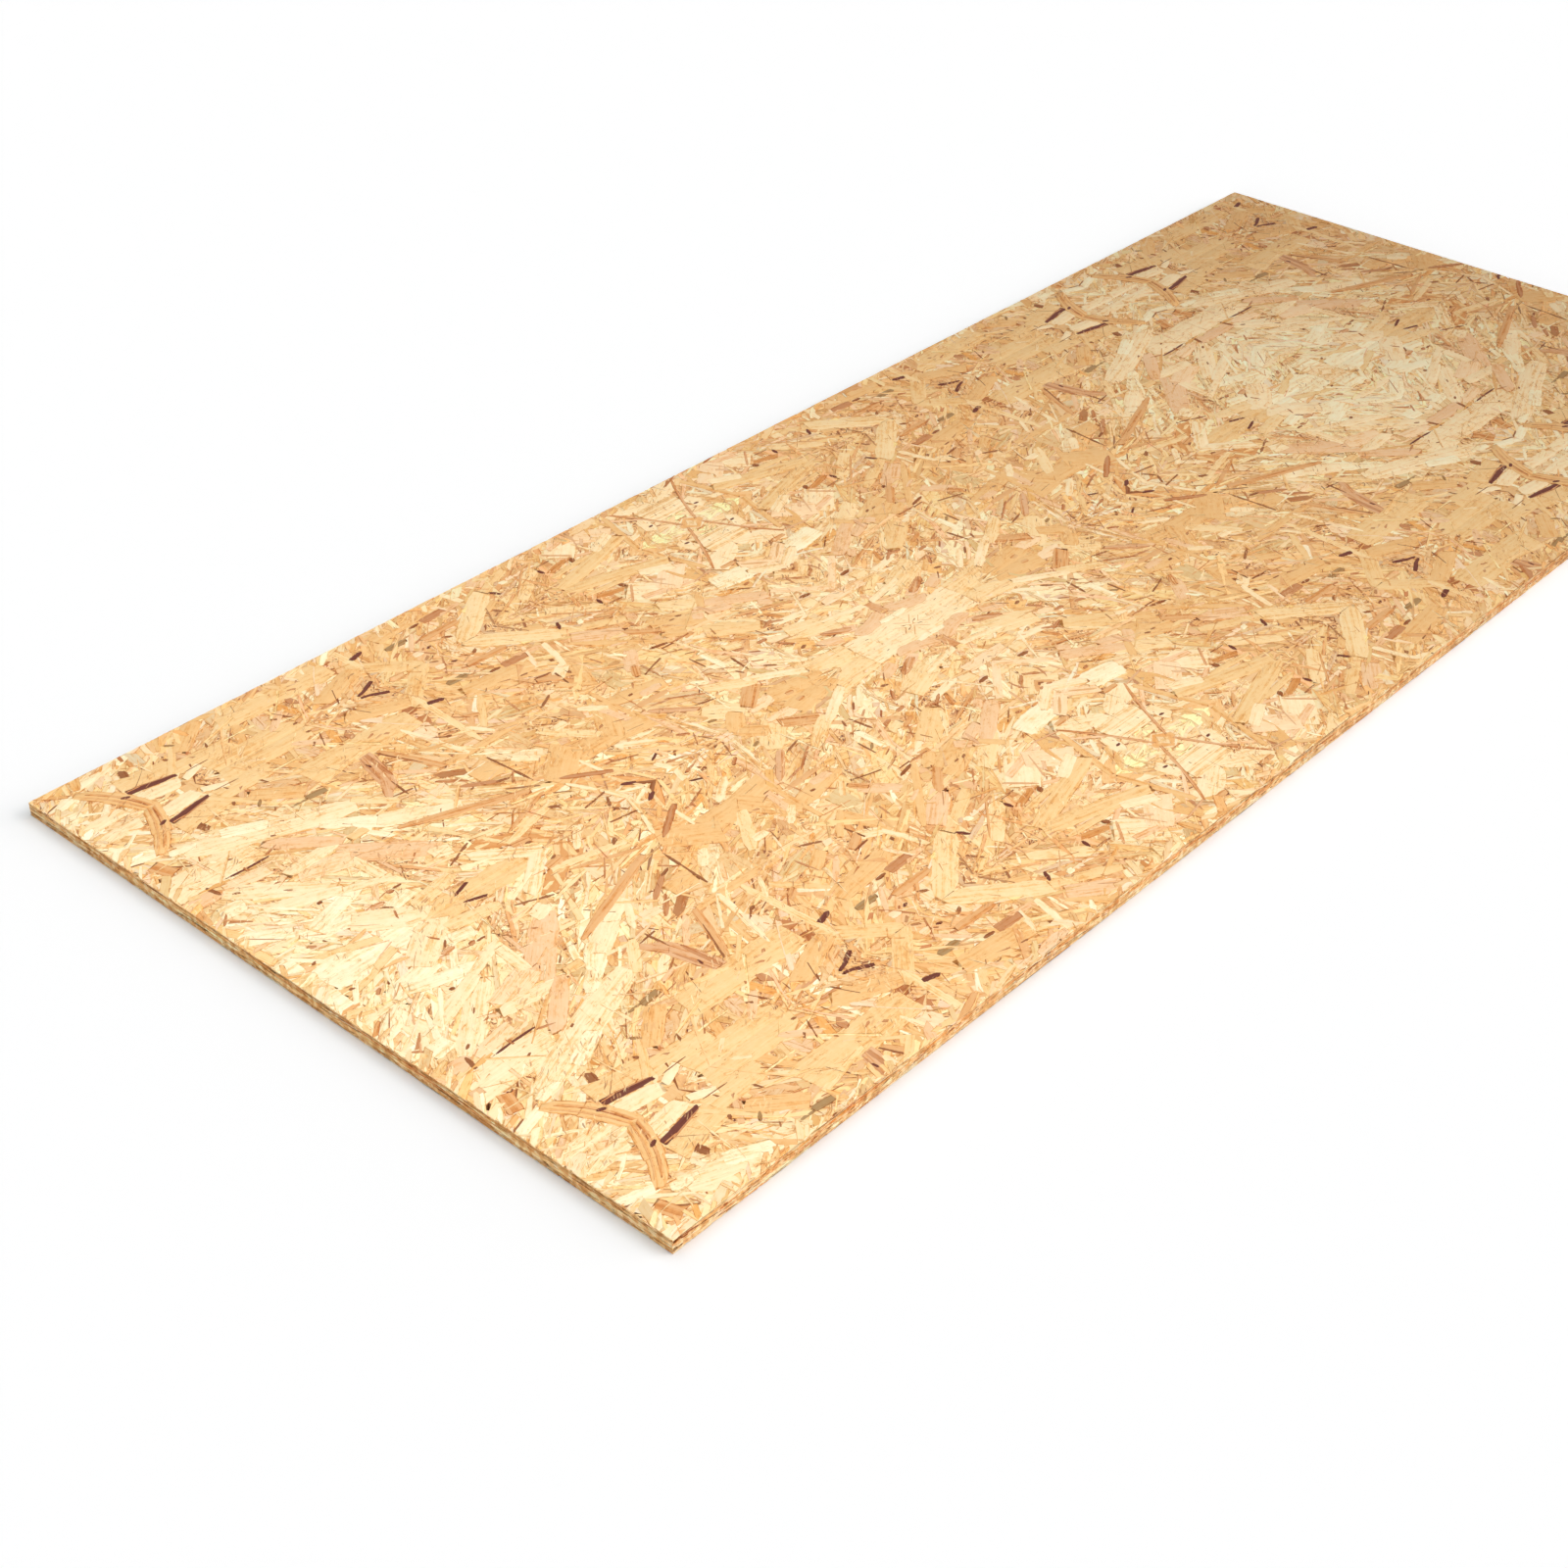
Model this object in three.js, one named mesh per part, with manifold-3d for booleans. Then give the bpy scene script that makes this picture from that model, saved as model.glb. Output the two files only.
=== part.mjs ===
// An oriented strand board panel: one square-edged sheet of wood strands pressed flat with resin.
// The sheet lies flat, its length along X, its width along Y and its lower face at Z = 0.

import * as THREE from "three";
import { ConvexGeometry } from "three/addons/geometries/ConvexGeometry.js";
import { mergeVertices } from "three/addons/utils/BufferGeometryUtils.js";
import Module from "manifold-3d";

// Driving dimensions, in millimetres.
const LENGTH = 3000;
const WIDTH = 1250;
const THICKNESS = 22;

// The mat has two face layers, whose strands run along the sheet, and a core that runs across it.
const FACE_LAYER = 0.27 * THICKNESS;
const CORE_LAYER = THICKNESS - 2 * FACE_LAYER;
const STRAND_THICKNESS = 0.8;

// Strands of a face that were pressed in at a slight tilt, so that one long side is sunk.
const STRAND_SPACING = 172;
const STRAND_LENGTH = [90, 190];
const STRAND_WIDTH = [12, 34];
const STRAND_SINK = [0.3, 0.9];

// Furrows that the strands of a face leave open between them.
const FURROW_SPACING = 215;
const FURROW_LENGTH = [30, 120];
const FURROW_WIDTH = [3, 8];
const FURROW_DEPTH = [0.7, 1.6];

// How far a strand of a face turns from the sheet's length, in degrees, and the plain rim it leaves.
const FACE_SWING = 40;
const FACE_RIM = 25;

// Slits between strands that the saw has opened in the edges, where the strands run along the edge
// and where they are cut across.
const SLIT_SPACING = 82;
const SLIT_DEPTH = [1.5, 4.5];
const ALONG_SLIT = { length: [16, 60], height: [0.5, 1.2] };
const ACROSS_SLIT = { length: [7, 24], height: [0.9, 2.1] };

// Slivers that have broken off the sawn arrises.
const CHIP_SPACING = 140;
const CHIP_LENGTH = [12, 70];
const CHIP_REACH = [0.8, 3.2];
const CHIP_DROP = [0.6, 2.0];

// Every cutter stands this far out of the surface that it opens.
const CLEARANCE = 1;
const SEED = 24;

const wasm = await Module();
wasm.setup();

// A seeded generator, so that every build gives the same sheet.
let state = SEED;

function random() {
  state = (state + 0x6d2b79f5) | 0;
  let mixed = Math.imul(state ^ (state >>> 15), 1 | state);
  mixed = (mixed + Math.imul(mixed ^ (mixed >>> 7), 61 | mixed)) ^ mixed;
  return ((mixed ^ (mixed >>> 14)) >>> 0) / 2 ** 32;
}

function between([low, high]) {
  return THREE.MathUtils.lerp(low, high, random());
}

// A turn in degrees to either side of zero, the small ones more likely.
function swing(most) {
  return most * (random() + random() - 1);
}

// One place in each cell of an even row centred on zero, away from the ends of the cell.
function placesAlong(span, spacing) {
  const count = Math.max(1, Math.round(span / spacing));
  const cell = span / count;
  return Array.from({ length: count }, (_, i) => (i + 0.2 + 0.6 * random()) * cell - span / 2);
}

function point(x, y, z) {
  return new THREE.Vector3(x, y, z);
}

// The cutter of a hollow with an outline in the plane Z = 0 and a deepest line below it.
function hollow(outline, deepest) {
  const mouth = outline.map(([x, y]) => point(x, y, 0));
  const above = outline.map(([x, y]) => point(x, y, CLEARANCE));
  const bed = deepest.map(([x, y, z]) => point(x, y, z));
  return new ConvexGeometry([...mouth, ...above, ...bed]);
}

// The place of a strand that lies at a tilt: flush along one side, sunk along the other.
function sunkStrand(length, width, sink) {
  const skew = width * (random() - 0.5);
  const outline = [
    [-length / 2, -width / 2],
    [length / 2 - skew, -width / 2],
    [length / 2 + skew, width / 2],
    [-length / 2 - skew, width / 2],
  ];
  const sunkSide = [
    [length / 2 + skew, width / 2, -sink],
    [-length / 2 - skew, width / 2, -sink],
  ];
  return hollow(outline, sunkSide);
}

// A furrow, steep along one strand and gentle on the other, whose ends run out to the face.
function furrow(length, width, depth) {
  const outline = [
    [-length / 2, 0],
    [0.1 * length, -width / 2],
    [length / 2, 0],
    [-0.2 * length, width / 2],
  ];
  const keel = [
    [-0.25 * length, 0.25 * width, -depth],
    [0.1 * length, 0.2 * width, -depth],
  ];
  return hollow(outline, keel);
}

// Strews one shape over each cell of a face, turned by chance and clear of the face's rim.
function strewn(makeShape, longest, spacing) {
  const margin = 2 * FACE_RIM + longest;
  return placesAlong(LENGTH - margin, spacing).flatMap((x) =>
    placesAlong(WIDTH - margin, spacing).map((y) => {
      const turn = THREE.MathUtils.degToRad(swing(FACE_SWING));
      return makeShape().rotateZ(turn).translate(x, y, 0);
    }),
  );
}

// The hollows of a face that looks up from Z = 0.
function faceHollows() {
  const strand = () =>
    sunkStrand(between(STRAND_LENGTH), between(STRAND_WIDTH), between(STRAND_SINK));
  const gap = () => furrow(between(FURROW_LENGTH), between(FURROW_WIDTH), between(FURROW_DEPTH));
  return [
    ...strewn(strand, STRAND_LENGTH[1], STRAND_SPACING),
    ...strewn(gap, FURROW_LENGTH[1], FURROW_SPACING),
  ];
}

// The four edges: how far each one runs, how far out it is, and the turn that faces +Y along it.
const EDGES = [
  { run: LENGTH, out: WIDTH / 2, turn: 0, isLong: true },
  { run: LENGTH, out: WIDTH / 2, turn: 180, isLong: true },
  { run: WIDTH, out: LENGTH / 2, turn: 90, isLong: false },
  { run: WIDTH, out: LENGTH / 2, turn: -90, isLong: false },
];

// Takes a shape made for an edge along X with its outer side at Y = 0 to its place on the sheet.
function onEdge(shape, edge, along, height) {
  return shape.translate(along, edge.out, height).rotateZ(THREE.MathUtils.degToRad(edge.turn));
}

// A slit: a flat lens in the plane Y = 0 that narrows to a line inside the sheet.
function slit(length, height, depth) {
  const outline = [
    [-length / 2, 0],
    [0.2 * length, -height / 2],
    [length / 2, 0],
    [-0.1 * length, height / 2],
  ];
  const end = [
    [-0.25 * length, 0, -depth],
    [0.25 * length, 0, -depth],
  ];
  return hollow(outline, end).rotateX(-Math.PI / 2);
}

// The slits of one edge in one layer, long and thin where its strands run along the edge, short and
// tall where they are cut across.
function layerSlits(edge, middle, depthOfLayer, runsAlong) {
  const size = runsAlong ? ALONG_SLIT : ACROSS_SLIT;
  const play = depthOfLayer / 2 - STRAND_THICKNESS;
  return placesAlong(edge.run, SLIT_SPACING).map((along) => {
    const shape = slit(between(size.length), between(size.height), between(SLIT_DEPTH));
    return onEdge(shape, edge, along, middle + play * (2 * random() - 1));
  });
}

function edgeSlits(edge) {
  return [
    ...layerSlits(edge, FACE_LAYER / 2, FACE_LAYER, edge.isLong),
    ...layerSlits(edge, THICKNESS / 2, CORE_LAYER, !edge.isLong),
    ...layerSlits(edge, THICKNESS - FACE_LAYER / 2, FACE_LAYER, edge.isLong),
  ];
}

// A chip: the bed of a sliver that has come off an arris along X, outside which Y and Z are positive.
function chip(length, reach, drop) {
  const half = length / 2;
  const [start, end] = [-0.4 * half, 0.6 * half];
  const corners = [
    point(-half, 0, 0),
    point(half, 0, 0),
    point(start, -reach, 0),
    point(end, -reach, 0),
    point(start, 0, -drop),
    point(end, 0, -drop),
  ];
  const outside = [-half, half].flatMap((x) => [
    point(x, CLEARANCE, 0),
    point(x, 0, CLEARANCE),
    point(x, CLEARANCE, CLEARANCE),
  ]);
  return new ConvexGeometry([...corners, ...outside]);
}

// The chips of one edge: an upper arris, and a lower arris with the upper one's shape turned over.
function arrisChips(edge) {
  const chipsAt = (height, turn) =>
    placesAlong(edge.run, CHIP_SPACING).map((along) => {
      const shape = chip(between(CHIP_LENGTH), between(CHIP_REACH), between(CHIP_DROP));
      return onEdge(shape.rotateX(turn), edge, along, height);
    });
  return [...chipsAt(THICKNESS, 0), ...chipsAt(0, -Math.PI / 2)];
}

// The lower face has hollows of its own, turned over about X.
function panel() {
  const sheet = new THREE.BoxGeometry(LENGTH, WIDTH, THICKNESS).translate(0, 0, THICKNESS / 2);
  const cutters = [
    ...faceHollows().map((shape) => shape.translate(0, 0, THICKNESS)),
    ...faceHollows().map((shape) => shape.rotateX(Math.PI)),
    ...EDGES.flatMap(edgeSlits),
    ...EDGES.flatMap(arrisChips),
  ];
  return cutters.reduce((solid, cutter) => solid.subtract(solidOf(cutter)), solidOf(sheet));
}

// The solid of a closed geometry, with its shared corners merged.
function solidOf(geometry) {
  geometry.deleteAttribute("normal");
  geometry.deleteAttribute("uv");
  const merged = mergeVertices(geometry);
  const mesh = new wasm.Mesh({
    numProp: 3,
    vertProperties: merged.attributes.position.array,
    triVerts: new Uint32Array(merged.index.array),
  });
  return new wasm.Manifold(mesh);
}

function geometryOf(solid) {
  const mesh = solid.getMesh();
  const geometry = new THREE.BufferGeometry();
  geometry.setAttribute("position", new THREE.BufferAttribute(mesh.vertProperties, mesh.numProp));
  geometry.setIndex(new THREE.BufferAttribute(mesh.triVerts, 1));
  geometry.computeVertexNormals();
  return geometry;
}

const pressedStrands = new THREE.MeshStandardMaterial({
  color: "#d8b07a",
  roughness: 0.8,
  metalness: 0,
});

const osbPanel = new THREE.Mesh(geometryOf(panel()), pressedStrands);
osbPanel.name = "osb_panel";

const group = new THREE.Group();
group.add(osbPanel);

export default group;
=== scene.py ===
"""A single oriented strand board panel on a pale studio floor.

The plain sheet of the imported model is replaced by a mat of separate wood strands: two faces of
strands laid over each other, four sawn edges, and the dark core that shows in the gaps.
"""
from collections import namedtuple

import bpy
import numpy as np
from mathutils import Matrix, Vector


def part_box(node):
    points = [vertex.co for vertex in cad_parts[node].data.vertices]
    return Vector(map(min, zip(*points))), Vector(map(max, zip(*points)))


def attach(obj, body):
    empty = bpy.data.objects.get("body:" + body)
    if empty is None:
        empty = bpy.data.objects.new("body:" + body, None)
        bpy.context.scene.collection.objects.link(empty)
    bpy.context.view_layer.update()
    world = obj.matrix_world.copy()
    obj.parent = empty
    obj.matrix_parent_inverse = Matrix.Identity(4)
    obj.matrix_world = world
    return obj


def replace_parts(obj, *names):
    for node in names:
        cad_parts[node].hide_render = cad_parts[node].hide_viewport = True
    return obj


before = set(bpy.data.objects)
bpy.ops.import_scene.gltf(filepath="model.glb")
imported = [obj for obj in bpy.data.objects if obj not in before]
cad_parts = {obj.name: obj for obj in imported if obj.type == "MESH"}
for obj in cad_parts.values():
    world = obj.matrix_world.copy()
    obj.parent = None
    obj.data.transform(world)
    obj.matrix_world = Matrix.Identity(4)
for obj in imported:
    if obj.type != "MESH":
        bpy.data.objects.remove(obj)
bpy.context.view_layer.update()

SHEET = "osb_panel"

# --- Sizes ------------------------------------------------------------------------------------

MM = 0.001
LOW, HIGH = (np.array(corner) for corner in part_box(SHEET))
LENGTH, WIDTH, THICKNESS = (HIGH - LOW) / MM

# The press plate left the same pattern over and over, each copy a mirror image of the next. A copy
# has this length and width in millimetres. Copies start at the near short edge and, across the
# sheet, at the foot, this far from the near long edge.
PATTERN_LENGTH = 0.3987 * LENGTH
PATTERN_WIDTH = 473
PATTERN_FOOT = 169.8

# How deep the strands of a face are stacked, and how thick one is, in millimetres.
RELIEF = 1.2
PLY = 0.8

# How far the core stays under the faces and behind the sawn edges.
CORE_DEPTH = 1.3
CORE_TRIM = 0.9

# The bevel along a board's edges, and how far its brink lies lower.
BEVEL = 1.0
EDGE_DROP = 0.2

# The least that the saw leaves of a strand: millimetres across it, and a share of its length. SCAN
# has the places along a strand where that is looked at.
NARROWEST = 0.15
SHORTEST = 0.02
SCAN = np.linspace(0, 1, 160)[None]

# The share of its length along which a strand widens from its end, and how wavy its sides are:
# in one slow and one quick wave, as shares of half its width.
WIDENING = 0.25
SLOW_WAVE = 0.06
QUICK_WAVE = 0.03

# The points round a strand's section: the share of the way across, the bevel inward, and 1 on the
# upper side. A board has a bevel at both edges, a plate is flat and a splinter is a wedge.
BOARD = (0, 0, 1, 1, 1, 0), (0, 1, -1, 0, 0, 0), (1, 1, 1, 1, 0, 0)
PLATE = (0, 1, 1, 0), (0, 0, 0, 0), (1, 1, 0, 0)
SPLINTER = (0, 1, 0.5), (0, 0, 0), (1, 1, 0)

# How far round a skin is for each millimetre across, and the gap between skins laid out flat.
SKIN_ROUND = 1.3
STRIP_GAP = 1.5

# A fold of a skin that is sharper than this stays an edge.
SHARP_FOLD = np.radians(40)

# --- Finishes ---------------------------------------------------------------------------------


def tone(red, green, blue):
    """A colour as a painter's 0 to 255 numbers, turned into linear light."""
    part = np.array([red, green, blue]) / 255
    return np.where(part <= 0.04045, part / 12.92, ((part + 0.055) / 1.055) ** 2.4)


WHITE = tone(254, 236, 192)
CREAM = tone(254, 226, 177)
STRAW = tone(249, 214, 157)
TAN = tone(243, 202, 141)
HONEY = tone(238, 190, 127)
ROSE = tone(252, 216, 168)
BLUSH = tone(241, 197, 148)
COPPER = tone(226, 171, 113)
CLAY = tone(224, 173, 125)
BARK = tone(198, 138, 90)
BROWN = tone(150, 94, 54)
ASH = tone(168, 131, 84)
UMBER = tone(106, 54, 40)

# The colours that strewn strands have, and how often each turns up in the parts of the pattern, in
# its litter and on the sawn edges.
COLOURS = (WHITE, CREAM, STRAW, TAN, ROSE, HONEY, BLUSH, COPPER, BARK, BROWN)
PALEST = (4, 8, 4, 0.8, 2.5, 0.3, 0.5, 0.1, 0, 0)
PALE = (1.6, 4.6, 6, 3.6, 2.6, 2.2, 1.1, 0.4, 0.05, 0)
MELLOW = (0.3, 2, 3.5, 5, 1.2, 6, 2, 1.3, 0.15, 0)
AMBER = (0.1, 1, 2.2, 5, 0.6, 8.5, 2.3, 2.4, 0.35, 0)
GOLDEN = (0.9, 3.2, 4.6, 5, 1.8, 4.4, 1.8, 0.9, 0.1, 0)
DEBRIS = (0.6, 1.6, 2, 2, 1, 2, 2, 3, 2, 0.6)
# SPECKS colour dark slivers that are partly painted shade of small voids between strands.
SPECKS = (0, 0, 0, 0, 0, 0, 1.5, 4, 4.5, 2.2)
SLIVERS = (2, 6, 5, 3, 2, 1, 0.3, 0, 0, 0)
SAWN_ALONG = (11, 9, 1, 0.5, 4, 0, 0.5, 1.4, 1.5, 1)
SAWN_ACROSS = (0.2, 2.5, 6, 5, 1.2, 2.5, 1, 0.7, 0.2, 0.1)

# The least and the most that a strewn strand gives back of any colour of the light.
DARKEST, LIGHTEST = 0.02, 0.98

# --- Strands ----------------------------------------------------------------------------------

# A strand lies on a side of the sheet. It is placed by its middle, in millimetres from that side's
# corner, and turned from the side's first direction. hand is -1 on a mirrored copy. start and end
# are its width there as a share of width, bow is how far its middle is pushed sideways, and shear
# leans its ends. depth is how far its upper side lies under the side of the sheet, and ply how
# thick it is. roll and pitch are how much one edge and one end lie lower. fray is how ragged its
# ends are, seed makes it unlike the others, figure is how strong its growth rings are, and cuts is
# the box that the saw leaves of it.
STRAND = np.dtype(
    [(name, float) for name in "x y length width angle hand start end bow shear".split()]
    + [(name, float) for name in "depth ply roll pitch fray seed figure".split()]
    + [("tint", float, 3), ("cuts", float, 4)]
)


def blank(count):
    """Strands with every value at rest, whole and level."""
    strands = np.zeros(count, STRAND)
    strands["hand"] = 1
    strands["ply"] = PLY
    strands["start"] = 0.85
    strands["end"] = 0.85
    return strands


# The strands that stand out in one copy of the pattern, the lowest first: place along and across
# the sheet, length, width and turn, colour, then the width at both ends and the bow. The darkest
# marks, in BROWN and UMBER, are partly painted shade of voids between strands.
LANDMARKS = [
    (110, 649, 162, 82, 0, WHITE, 0.9, 0.9, 0),
    (284, 653, 190, 70, 0, TAN, 0.7, 0.3, 0),
    (70, 351, 154, 58, 0, CREAM, 0.9, 0.9, 0),
    (402, 270, 204, 54, 0, TAN, 0.9, 0.95, 0),
    (301, 173, 160, 62, 0, TAN, 0.9, 0.05, 0),
    (12, 625, 34, 60, 0, CREAM, 0.9, 0.9, 0),
    (11, 593, 34, 42, 0, WHITE, 0.9, 0.9, 0),
    (32, 546, 66, 18, 4, CREAM, 0.7, 0.5, 0),
    (189, 332, 250, 46, 21, CREAM, 0.6, 0.7, 3),
    (110, 451, 150, 34, 42, CREAM, 0.5, 0.8, 0),
    (262, 487, 150, 42, 43, BLUSH, 0.7, 0.6, 2),
    (184, 455, 76, 40, 20, ROSE, 0.7, 0.8, 0),
    (184, 428, 92, 24, -5, CREAM, 0.7, 0.8, 0),
    (199, 392, 110, 26, 44, BLUSH, 0.6, 0.6, 0),
    (648, 525, 208, 44, 4, HONEY, 0.5, 0.8, -10),
    (567, 517, 92, 50, -38, HONEY, 0.6, 0.8, 0),
    (1036, 636, 126, 78, 8, STRAW, 0.9, 0.9, 0),
    (1150, 645, 150, 82, 0, CREAM, 0.95, 0.95, 0),
    (1190, 632, 34, 3, 42, COPPER, 0.5, 0.5, 0),
    (1178, 640, 26, 2, 40, COPPER, 0.5, 0.5, 0),
    (1196, 646, 20, 3, 46, COPPER, 0.5, 0.5, 0),
    (945, 629, 104, 46, 10, HONEY, 0.8, 0.8, 0),
    (1113, 340, 78, 42, 8, WHITE, 0.7, 0.9, 0),
    (1159, 279, 106, 40, -30, CREAM, 0.7, 0.8, 0),
    (995, 273, 76, 52, 42, CREAM, 0.8, 0.8, 0),
    (1048, 265, 76, 44, -40, ROSE, 0.8, 0.8, 0),
    (1091, 231, 120, 12, 74, HONEY, 0.7, 0.7, 0),
    (1084, 534, 84, 44, 20, STRAW, 0.8, 0.8, 0),
    (1182, 499, 64, 24, 0, ROSE, 0.8, 0.8, 0),
    (1188, 464, 60, 28, 0, STRAW, 0.8, 0.8, 0),
    (1001, 444, 90, 40, 32, TAN, 0.7, 0.7, 0),
    (956, 366, 84, 50, 20, HONEY, 0.7, 0.8, 0),
    (834, 605, 100, 40, 40, STRAW, 0.7, 0.8, 0),
    (851, 275, 130, 20, 27, TAN, 0.8, 0.7, 0),
    (750, 214, 150, 38, 38, STRAW, 0.7, 0.7, 0),
    (846, 306, 84, 32, 36, BLUSH, 0.7, 0.7, 0),
    (877, 225, 96, 24, 38, STRAW, 0.6, 0.6, 0),
    (993, 199, 190, 30, 16, TAN, 0.7, 0.7, 0),
    (959, 214, 90, 12, 6, TAN, 0.6, 0.5, 0),
    (659, 283, 124, 36, 6, HONEY, 0.8, 0.9, 0),
    (564, 206, 118, 30, -42, TAN, 0.9, 0.9, 0),
    (481, 216, 100, 32, 22, HONEY, 0.8, 0.8, 0),
    (760, 349, 96, 26, -68, HONEY, 0.8, 0.7, 0),
    (1007, 344, 96, 30, 32, STRAW, 0.7, 0.7, 0),
    (1067, 389, 110, 26, 34, BLUSH, 0.7, 0.7, 0),
    (692, 482, 92, 40, -55, HONEY, 0.7, 0.7, 0),
    (774, 464, 96, 30, 12, HONEY, 0.7, 0.7, 0),
    (1184, 237, 62, 52, 0, CREAM, 0.6, 0.9, 0),
    (153, 233, 98, 42, -7, TAN, 0.9, 0.8, 0),
    (238, 216, 96, 36, -2, TAN, 0.9, 0.8, 0),
    (184, 224, 150, 13, 52, TAN, 0.96, 0.6, 0),
    (262, 290, 60, 12, 5, BLUSH, 0.5, 0.6, 0),
    (243, 262, 34, 14, 78, BLUSH, 0.5, 0.6, 0),
    (248, 274, 80, 30, 40, HONEY, 0.6, 0.6, 0),
    (141, 193, 66, 28, -8, CREAM, 0.7, 0.4, 0),
    (164, 307, 66, 26, 26, WHITE, 0.6, 0.7, 0),
    (78, 284, 40, 15, 14, WHITE, 0.6, 0.7, 0),
    (25, 260, 56, 18, 16, WHITE, 0.7, 0.7, 0),
    (33, 302, 36, 22, 72, COPPER, 0.7, 0.9, 0),
    (108, 563, 82, 34, 12, WHITE, 0.6, 0.7, 0),
    (138, 536, 108, 26, -17, WHITE, 0.6, 0.6, 0),
    (185, 522, 104, 16, 22, CREAM, 0.5, 0.6, 0),
    (118, 491, 108, 24, 22, CREAM, 0.6, 0.6, 0),
    (29, 513, 88, 28, 32, WHITE, 0.5, 0.7, 0),
    (170, 607, 104, 46, 37, CREAM, 0.8, 0.8, 0),
    (207, 585, 44, 24, -12, WHITE, 0.5, 0.6, 0),
    (39, 593, 56, 9, 52, WHITE, 0.5, 0.6, 0),
    (221, 500, 60, 20, 84, CREAM, 0.7, 0.7, 0),
    (247, 603, 84, 26, -12, STRAW, 0.6, 0.7, 0),
    (42, 439, 38, 30, 5, WHITE, 0.6, 0.7, 0),
    (275, 404, 90, 24, 36, WHITE, 0.5, 0.5, 0),
    (290, 428, 56, 18, 45, WHITE, 0.5, 0.6, 0),
    (283, 453, 42, 12, 62, WHITE, 0.5, 0.6, 0),
    (262, 431, 30, 15, 0, TAN, 0.6, 0.6, 0),
    (22, 396, 62, 27, 0, BLUSH, 0.8, 0.7, 0),
    (96, 400, 70, 22, 12, ROSE, 0.6, 0.7, 0),
    (361, 468, 96, 30, 22, CREAM, 0.5, 0.7, 0),
    (330, 444, 68, 34, 30, CREAM, 0.5, 0.6, 0),
    (386, 452, 52, 13, 50, CREAM, 0.5, 0.6, 0),
    (407, 435, 30, 17, -10, ROSE, 0.5, 0.6, 0),
    (482, 451, 46, 38, 5, HONEY, 0.8, 0.8, 0),
    (411, 467, 62, 6, -42, TAN, 0.6, 0.6, 0),
    (312, 545, 32, 26, 20, CREAM, 0.6, 0.6, 0),
    (330, 388, 70, 18, 50, STRAW, 0.6, 0.6, 0),
    (341, 347, 56, 15, 38, CREAM, 0.6, 0.6, 0),
    (533, 393, 156, 15, -2, HONEY, 0.6, 0.6, 2),
    (368, 615, 104, 26, 40, CREAM, 0.6, 0.8, 0),
    (446, 585, 126, 14, -14, STRAW, 0.6, 0.5, 0),
    (461, 629, 62, 13, 46, CREAM, 0.5, 0.6, 0),
    (399, 610, 30, 15, 10, COPPER, 0.5, 0.5, 0),
    (567, 625, 50, 11, 70, CREAM, 0.5, 0.6, 0),
    (546, 577, 48, 8, 65, CREAM, 0.5, 0.6, 0),
    (592, 555, 54, 8, 85, CREAM, 0.6, 0.6, 0),
    (542, 468, 42, 17, 45, CREAM, 0.5, 0.6, 0),
    (583, 330, 84, 14, -52, TAN, 0.6, 0.6, 0),
    (535, 306, 164, 14, -87, STRAW, 0.6, 0.8, 0),
    (549, 364, 46, 9, 58, CREAM, 0.5, 0.5, 0),
    (483, 339, 122, 11, 76, CREAM, 0.5, 0.7, 0),
    (413, 376, 64, 11, 45, BLUSH, 0.5, 0.6, 0),
    (432, 300, 56, 8, 40, TAN, 0.5, 0.6, 0),
    (628, 466, 94, 21, 52, STRAW, 0.5, 0.8, 0),
    (706, 472, 70, 15, 80, BLUSH, 0.4, 0.8, 0),
    (724, 460, 96, 10, 88, HONEY, 0.6, 0.6, 0),
    (631, 444, 28, 15, 0, CREAM, 0.5, 0.5, 0),
    (697, 446, 46, 15, 42, CREAM, 0.5, 0.7, 0),
    (693, 597, 120, 11, 42, TAN, 0.4, 0.5, 0),
    (675, 558, 64, 14, 35, CREAM, 0.4, 0.5, 0),
    (661, 626, 28, 12, 70, CREAM, 0.5, 0.5, 0),
    (740, 552, 90, 13, 88, BLUSH, 0.7, 0.8, 0),
    (736, 566, 40, 3, 86, COPPER, 0.5, 0.5, 0),
    (738, 592, 20, 7, 30, BARK, 0.5, 0.5, 0),
    (751, 567, 64, 4, 88, CREAM, 0.5, 0.5, 0),
    (769, 492, 74, 11, 3, COPPER, 0.5, 0.6, 0),
    (812, 627, 54, 30, -45, HONEY, 0.7, 0.8, 0),
    (872, 621, 50, 24, 0, ROSE, 0.4, 0.6, 0),
    (879, 593, 62, 27, -36, COPPER, 0.6, 0.9, 0),
    (879, 552, 86, 24, 32, STRAW, 0.5, 0.6, 0),
    (873, 498, 54, 9, -70, ROSE, 0.5, 0.6, 0),
    (790, 474, 40, 16, 0, BLUSH, 0.5, 0.6, 0),
    (899, 349, 60, 16, 42, COPPER, 0.5, 0.8, 0),
    (856, 349, 164, 13, 45, HONEY, 0.6, 0.6, 0),
    (734, 339, 42, 22, -32, CREAM, 0.6, 0.6, 0),
    (761, 296, 74, 12, -73, CREAM, 0.8, 0.7, 2),
    (732, 273, 62, 10, -68, ROSE, 0.5, 0.5, 0),
    (726, 382, 64, 12, 40, HONEY, 0.5, 0.6, 0),
    (642, 349, 46, 22, 32, HONEY, 0.3, 0.7, 0),
    (643, 317, 62, 10, 40, BLUSH, 0.4, 0.6, 0),
    (709, 340, 38, 15, 28, COPPER, 0.5, 0.6, 0),
    (682, 366, 16, 13, 0, ROSE, 0.6, 0.6, 0),
    (622, 196, 18, 14, 0, ROSE, 0.6, 0.6, 0),
    (690, 224, 76, 14, 1, COPPER, 0.7, 0.7, 0),
    (636, 227, 56, 9, 50, BLUSH, 0.5, 0.6, 0),
    (791, 218, 34, 13, 28, HONEY, 0.5, 0.6, 0),
    (848, 349, 28, 8, 25, BLUSH, 0.5, 0.6, 0),
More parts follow.
